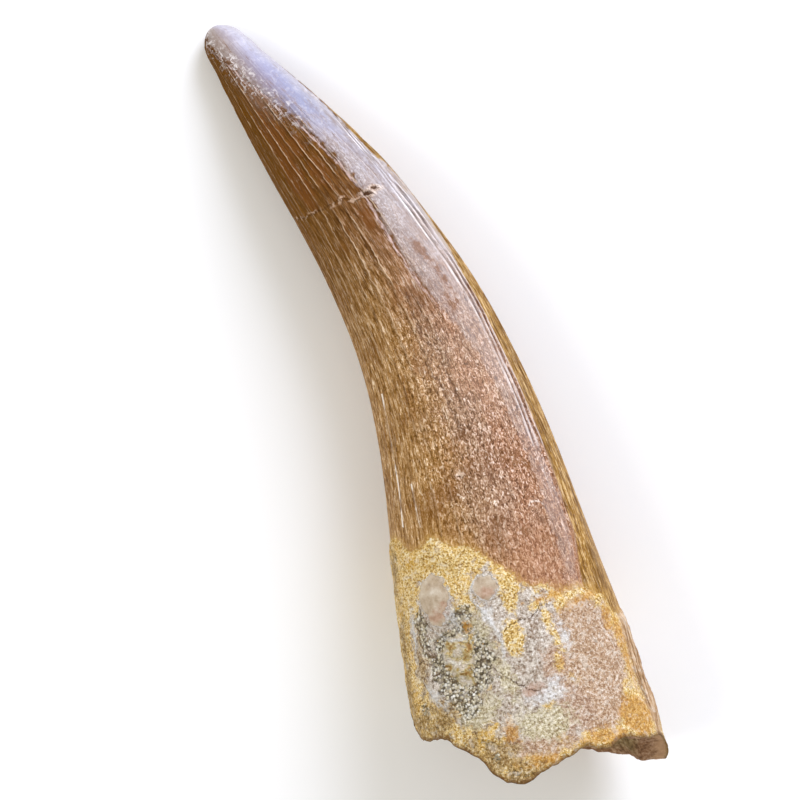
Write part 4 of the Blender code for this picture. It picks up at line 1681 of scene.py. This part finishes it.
@dataclass(frozen=True)
class SandGrains:
    """Coarse phosphate grains, 0.08 to 0.20 mm across, that stand out of the coating."""

    tooth: Tooth
    # Places are tried at random along the tooth and kept where there is sand, away from the
    # broken edge and from the coating's upper edge.
    tries: int = 14000
    reach: tuple[float, float] = (-1.0, 15.0)
    from_broken_edge: float = 0.15
    from_upper_edge: float = 0.4
    # Half sizes, and the share of each grain that is sunk in the coating.
    smallest: float = 0.040
    largest: float = 0.10
    sink: float = 0.45
    # A grain is squeezed or widened both ways, flattened a little, and its corners are moved.
    squeeze: tuple[float, float] = (0.75, 1.25)
    flatness: float = 0.9
    knobbly: float = 0.12
    seed: int = 7
    name: str = "sand_grains"

    def spots(self) -> tuple[np.ndarray, np.ndarray]:
        """Where the grains sit.

        Returns:
            Their angles and their distances along the tooth.
        """
        draw = np.random.default_rng(self.seed)
        angle = draw.uniform(-180.0, 180.0, self.tries)
        along = draw.uniform(*self.reach, self.tries)
        form, coating = self.tooth.form, self.tooth.coating
        skin = Skin.at(form, angle, along)
        on_root = along > self.tooth.end.rough_edge_at(angle) + self.from_broken_edge
        covered = coating.cover(skin) > self.from_upper_edge
        sandy = coating.inside(skin, Mineral.SAND) + 0.5 * clouds(skin.points, 0.8, 50.0)
        free = (coating.inside(skin, Mineral.OVAL) < 0.1) & (coating.inside(skin, Mineral.SMOOTH) < 0.0)
        keep = on_root & covered & (sandy > 0.15) & free
        return angle[keep], along[keep]

    def build(self) -> bpy.types.Object:
        """Models the grains.

        Returns:
            The joined grains, at the origin, with their places in the mesh.
        """
        angle, along = self.spots()
        form = self.tooth.form
        skin = Skin.at(form, angle, along)
        centres = form.place(angle, along, form.radius(along) + self.tooth.relief(skin))
        inner = form.place(angle, along, form.radius(along) - 1.0)
        draw = random.Random(self.seed)
        working = bmesh.new()
        tint = working.verts.layers.float.new(Mark.TINT.value)
        for centre, inside in zip(centres, inner):
            size = draw.uniform(self.smallest, self.largest)
            out = Vector(centre - inside).normalized()
            middle = Vector(centre) + out * size * (1.0 - 2.0 * self.sink)
            spin = out.rotation_difference(Vector((0.0, 0.0, 1.0))).to_matrix().to_4x4()
            roll = Matrix.Rotation(draw.uniform(0.0, math.tau), 4, "Z")
            across, length = size * draw.uniform(*self.squeeze), size * draw.uniform(*self.squeeze)
            shape = Matrix.Diagonal((across, length, size * self.flatness, 1.0))
            matrix = Matrix.Translation(middle) @ spin.inverted() @ roll @ shape
            made = bmesh.ops.create_icosphere(working, subdivisions=1, radius=1.0, matrix=matrix)
            shade = draw.random()
            for vertex in made["verts"]:
                vertex[tint] = shade
                vertex.co += self.knobbly * size * Vector((draw.random(), draw.random(), draw.random()))
        for vertex in working.verts:
            vertex.co *= MM
            vertex.co.z = max(0.0, vertex.co.z)
        mesh = bpy.data.meshes.new(self.name)
        working.to_mesh(mesh)
        working.free()
        return put(self.name, mesh)


# --- studio ----------------------------------------------------------------------------------


@dataclass(frozen=True)
class SoftLight:
    """A rectangular soft light that looks at the tooth from a distance.

    The bearing is measured on the floor from +X towards +Y; radiance is in units in which a
    white floor under an even sky of 1 is white.
    """

    name: str
    bearing_deg: float
    elevation_deg: float
    distance: float
    width: float
    height: float
    radiance: float
    colour: tuple[float, float, float]

    def build(self, target: Vector) -> bpy.types.Object:
        """Places the light.

        Args:
            target: the point that it looks at.

        Returns:
            The light.
        """
        bearing, elevation = math.radians(self.bearing_deg), math.radians(self.elevation_deg)
        towards = Vector((
            math.cos(bearing) * math.cos(elevation),
            math.sin(bearing) * math.cos(elevation),
            math.sin(elevation),
        ))
        data = bpy.data.lights.new(self.name, "AREA")
        data.shape = "RECTANGLE"
        data.size, data.size_y = self.width, self.height
        data.energy = self.radiance * math.pi * self.width * self.height
        data.color = self.colour
        lamp = put(self.name, data)
        lamp.location = target + towards * self.distance
        lamp.rotation_euler = (-towards).to_track_quat("-Z", "Y").to_euler()
        return lamp


@dataclass(frozen=True)
class Studio:
    """A pale floor, soft light and a camera straight above the tooth."""

    floor_size: float = 3.0
    world_strength: float = 0.60
    world_colour: tuple[float, float, float] = (1.0, 0.985, 0.95)
    camera_roll_deg: float = -23.9
    camera_over: tuple[float, float] = (-0.25, 0.41)
    middle_height: float = 5.5
    view_width: float = 47.06
    lens: float = 200.0
    sensor: float = 36.0
    clip: tuple[float, float] = (0.01, 10.0)
    lights: tuple[SoftLight, ...] = (
        SoftLight("window", 34.0, 32.0, 0.80, 0.44, 0.60, 8.0, (0.80, 0.85, 1.0)),
        SoftLight("overhead", 170.0, 50.0, 1.20, 0.52, 0.52, 3.8, (1.0, 0.96, 0.86)),
    )

    def build(self) -> None:
        """Sets up floor, world, lights and camera."""
        working = bmesh.new()
        bmesh.ops.create_grid(working, x_segments=1, y_segments=1, size=self.floor_size / 2)
        mesh = bpy.data.meshes.new("studio_floor")
        working.to_mesh(mesh)
        working.free()
        mesh.materials.append(PlainFinish().build())
        floor = put("studio_floor", mesh)
        world = bpy.data.worlds.new("soft_sky")
        world.use_nodes = True
        sky = world.node_tree.nodes["Background"]
        sky.inputs["Color"].default_value = (*self.world_colour, 1.0)
        sky.inputs["Strength"].default_value = self.world_strength
        bpy.context.scene.world = world
        bpy.context.scene.view_settings.view_transform = "Standard"
        target = Vector((0.0, 0.0, self.middle_height * MM))
        for light in self.lights:
            light.build(target)
        self.build_camera()

    def build_camera(self) -> bpy.types.Object:
        """Places the camera straight above, turned so that the tooth leans to the left.

        Returns:
            The camera.
        """
        data = bpy.data.cameras.new("camera")
        data.lens, data.sensor_width = self.lens, self.sensor
        data.clip_start, data.clip_end = self.clip
        camera = put("camera", data)
        distance = self.view_width / 2 / (self.sensor / 2 / self.lens)
        height = self.middle_height + distance
        camera.location = Vector((self.camera_over[0], self.camera_over[1], height)) * MM
        camera.rotation_euler = (0.0, 0.0, math.radians(self.camera_roll_deg))
        bpy.context.scene.camera = camera
        return camera


def main() -> None:
    """Builds the tooth, its grains and the studio, and reports each piece."""
    logging.basicConfig(level=logging.INFO, format="%(message)s")
    tooth = Tooth()
    surface = tooth.build()
    surface.data.materials.append(FossilFinish().build())
    grains = SandGrains(tooth).build()
    grains.data.materials.append(SandFinish().build())
    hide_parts(NODE)
    for piece in (surface, grains):
        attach(piece, "root")
        LOG.info("%s: %d faces", piece.name, len(piece.data.polygons))
    Studio().build()


if __name__ == "__main__":
    main()
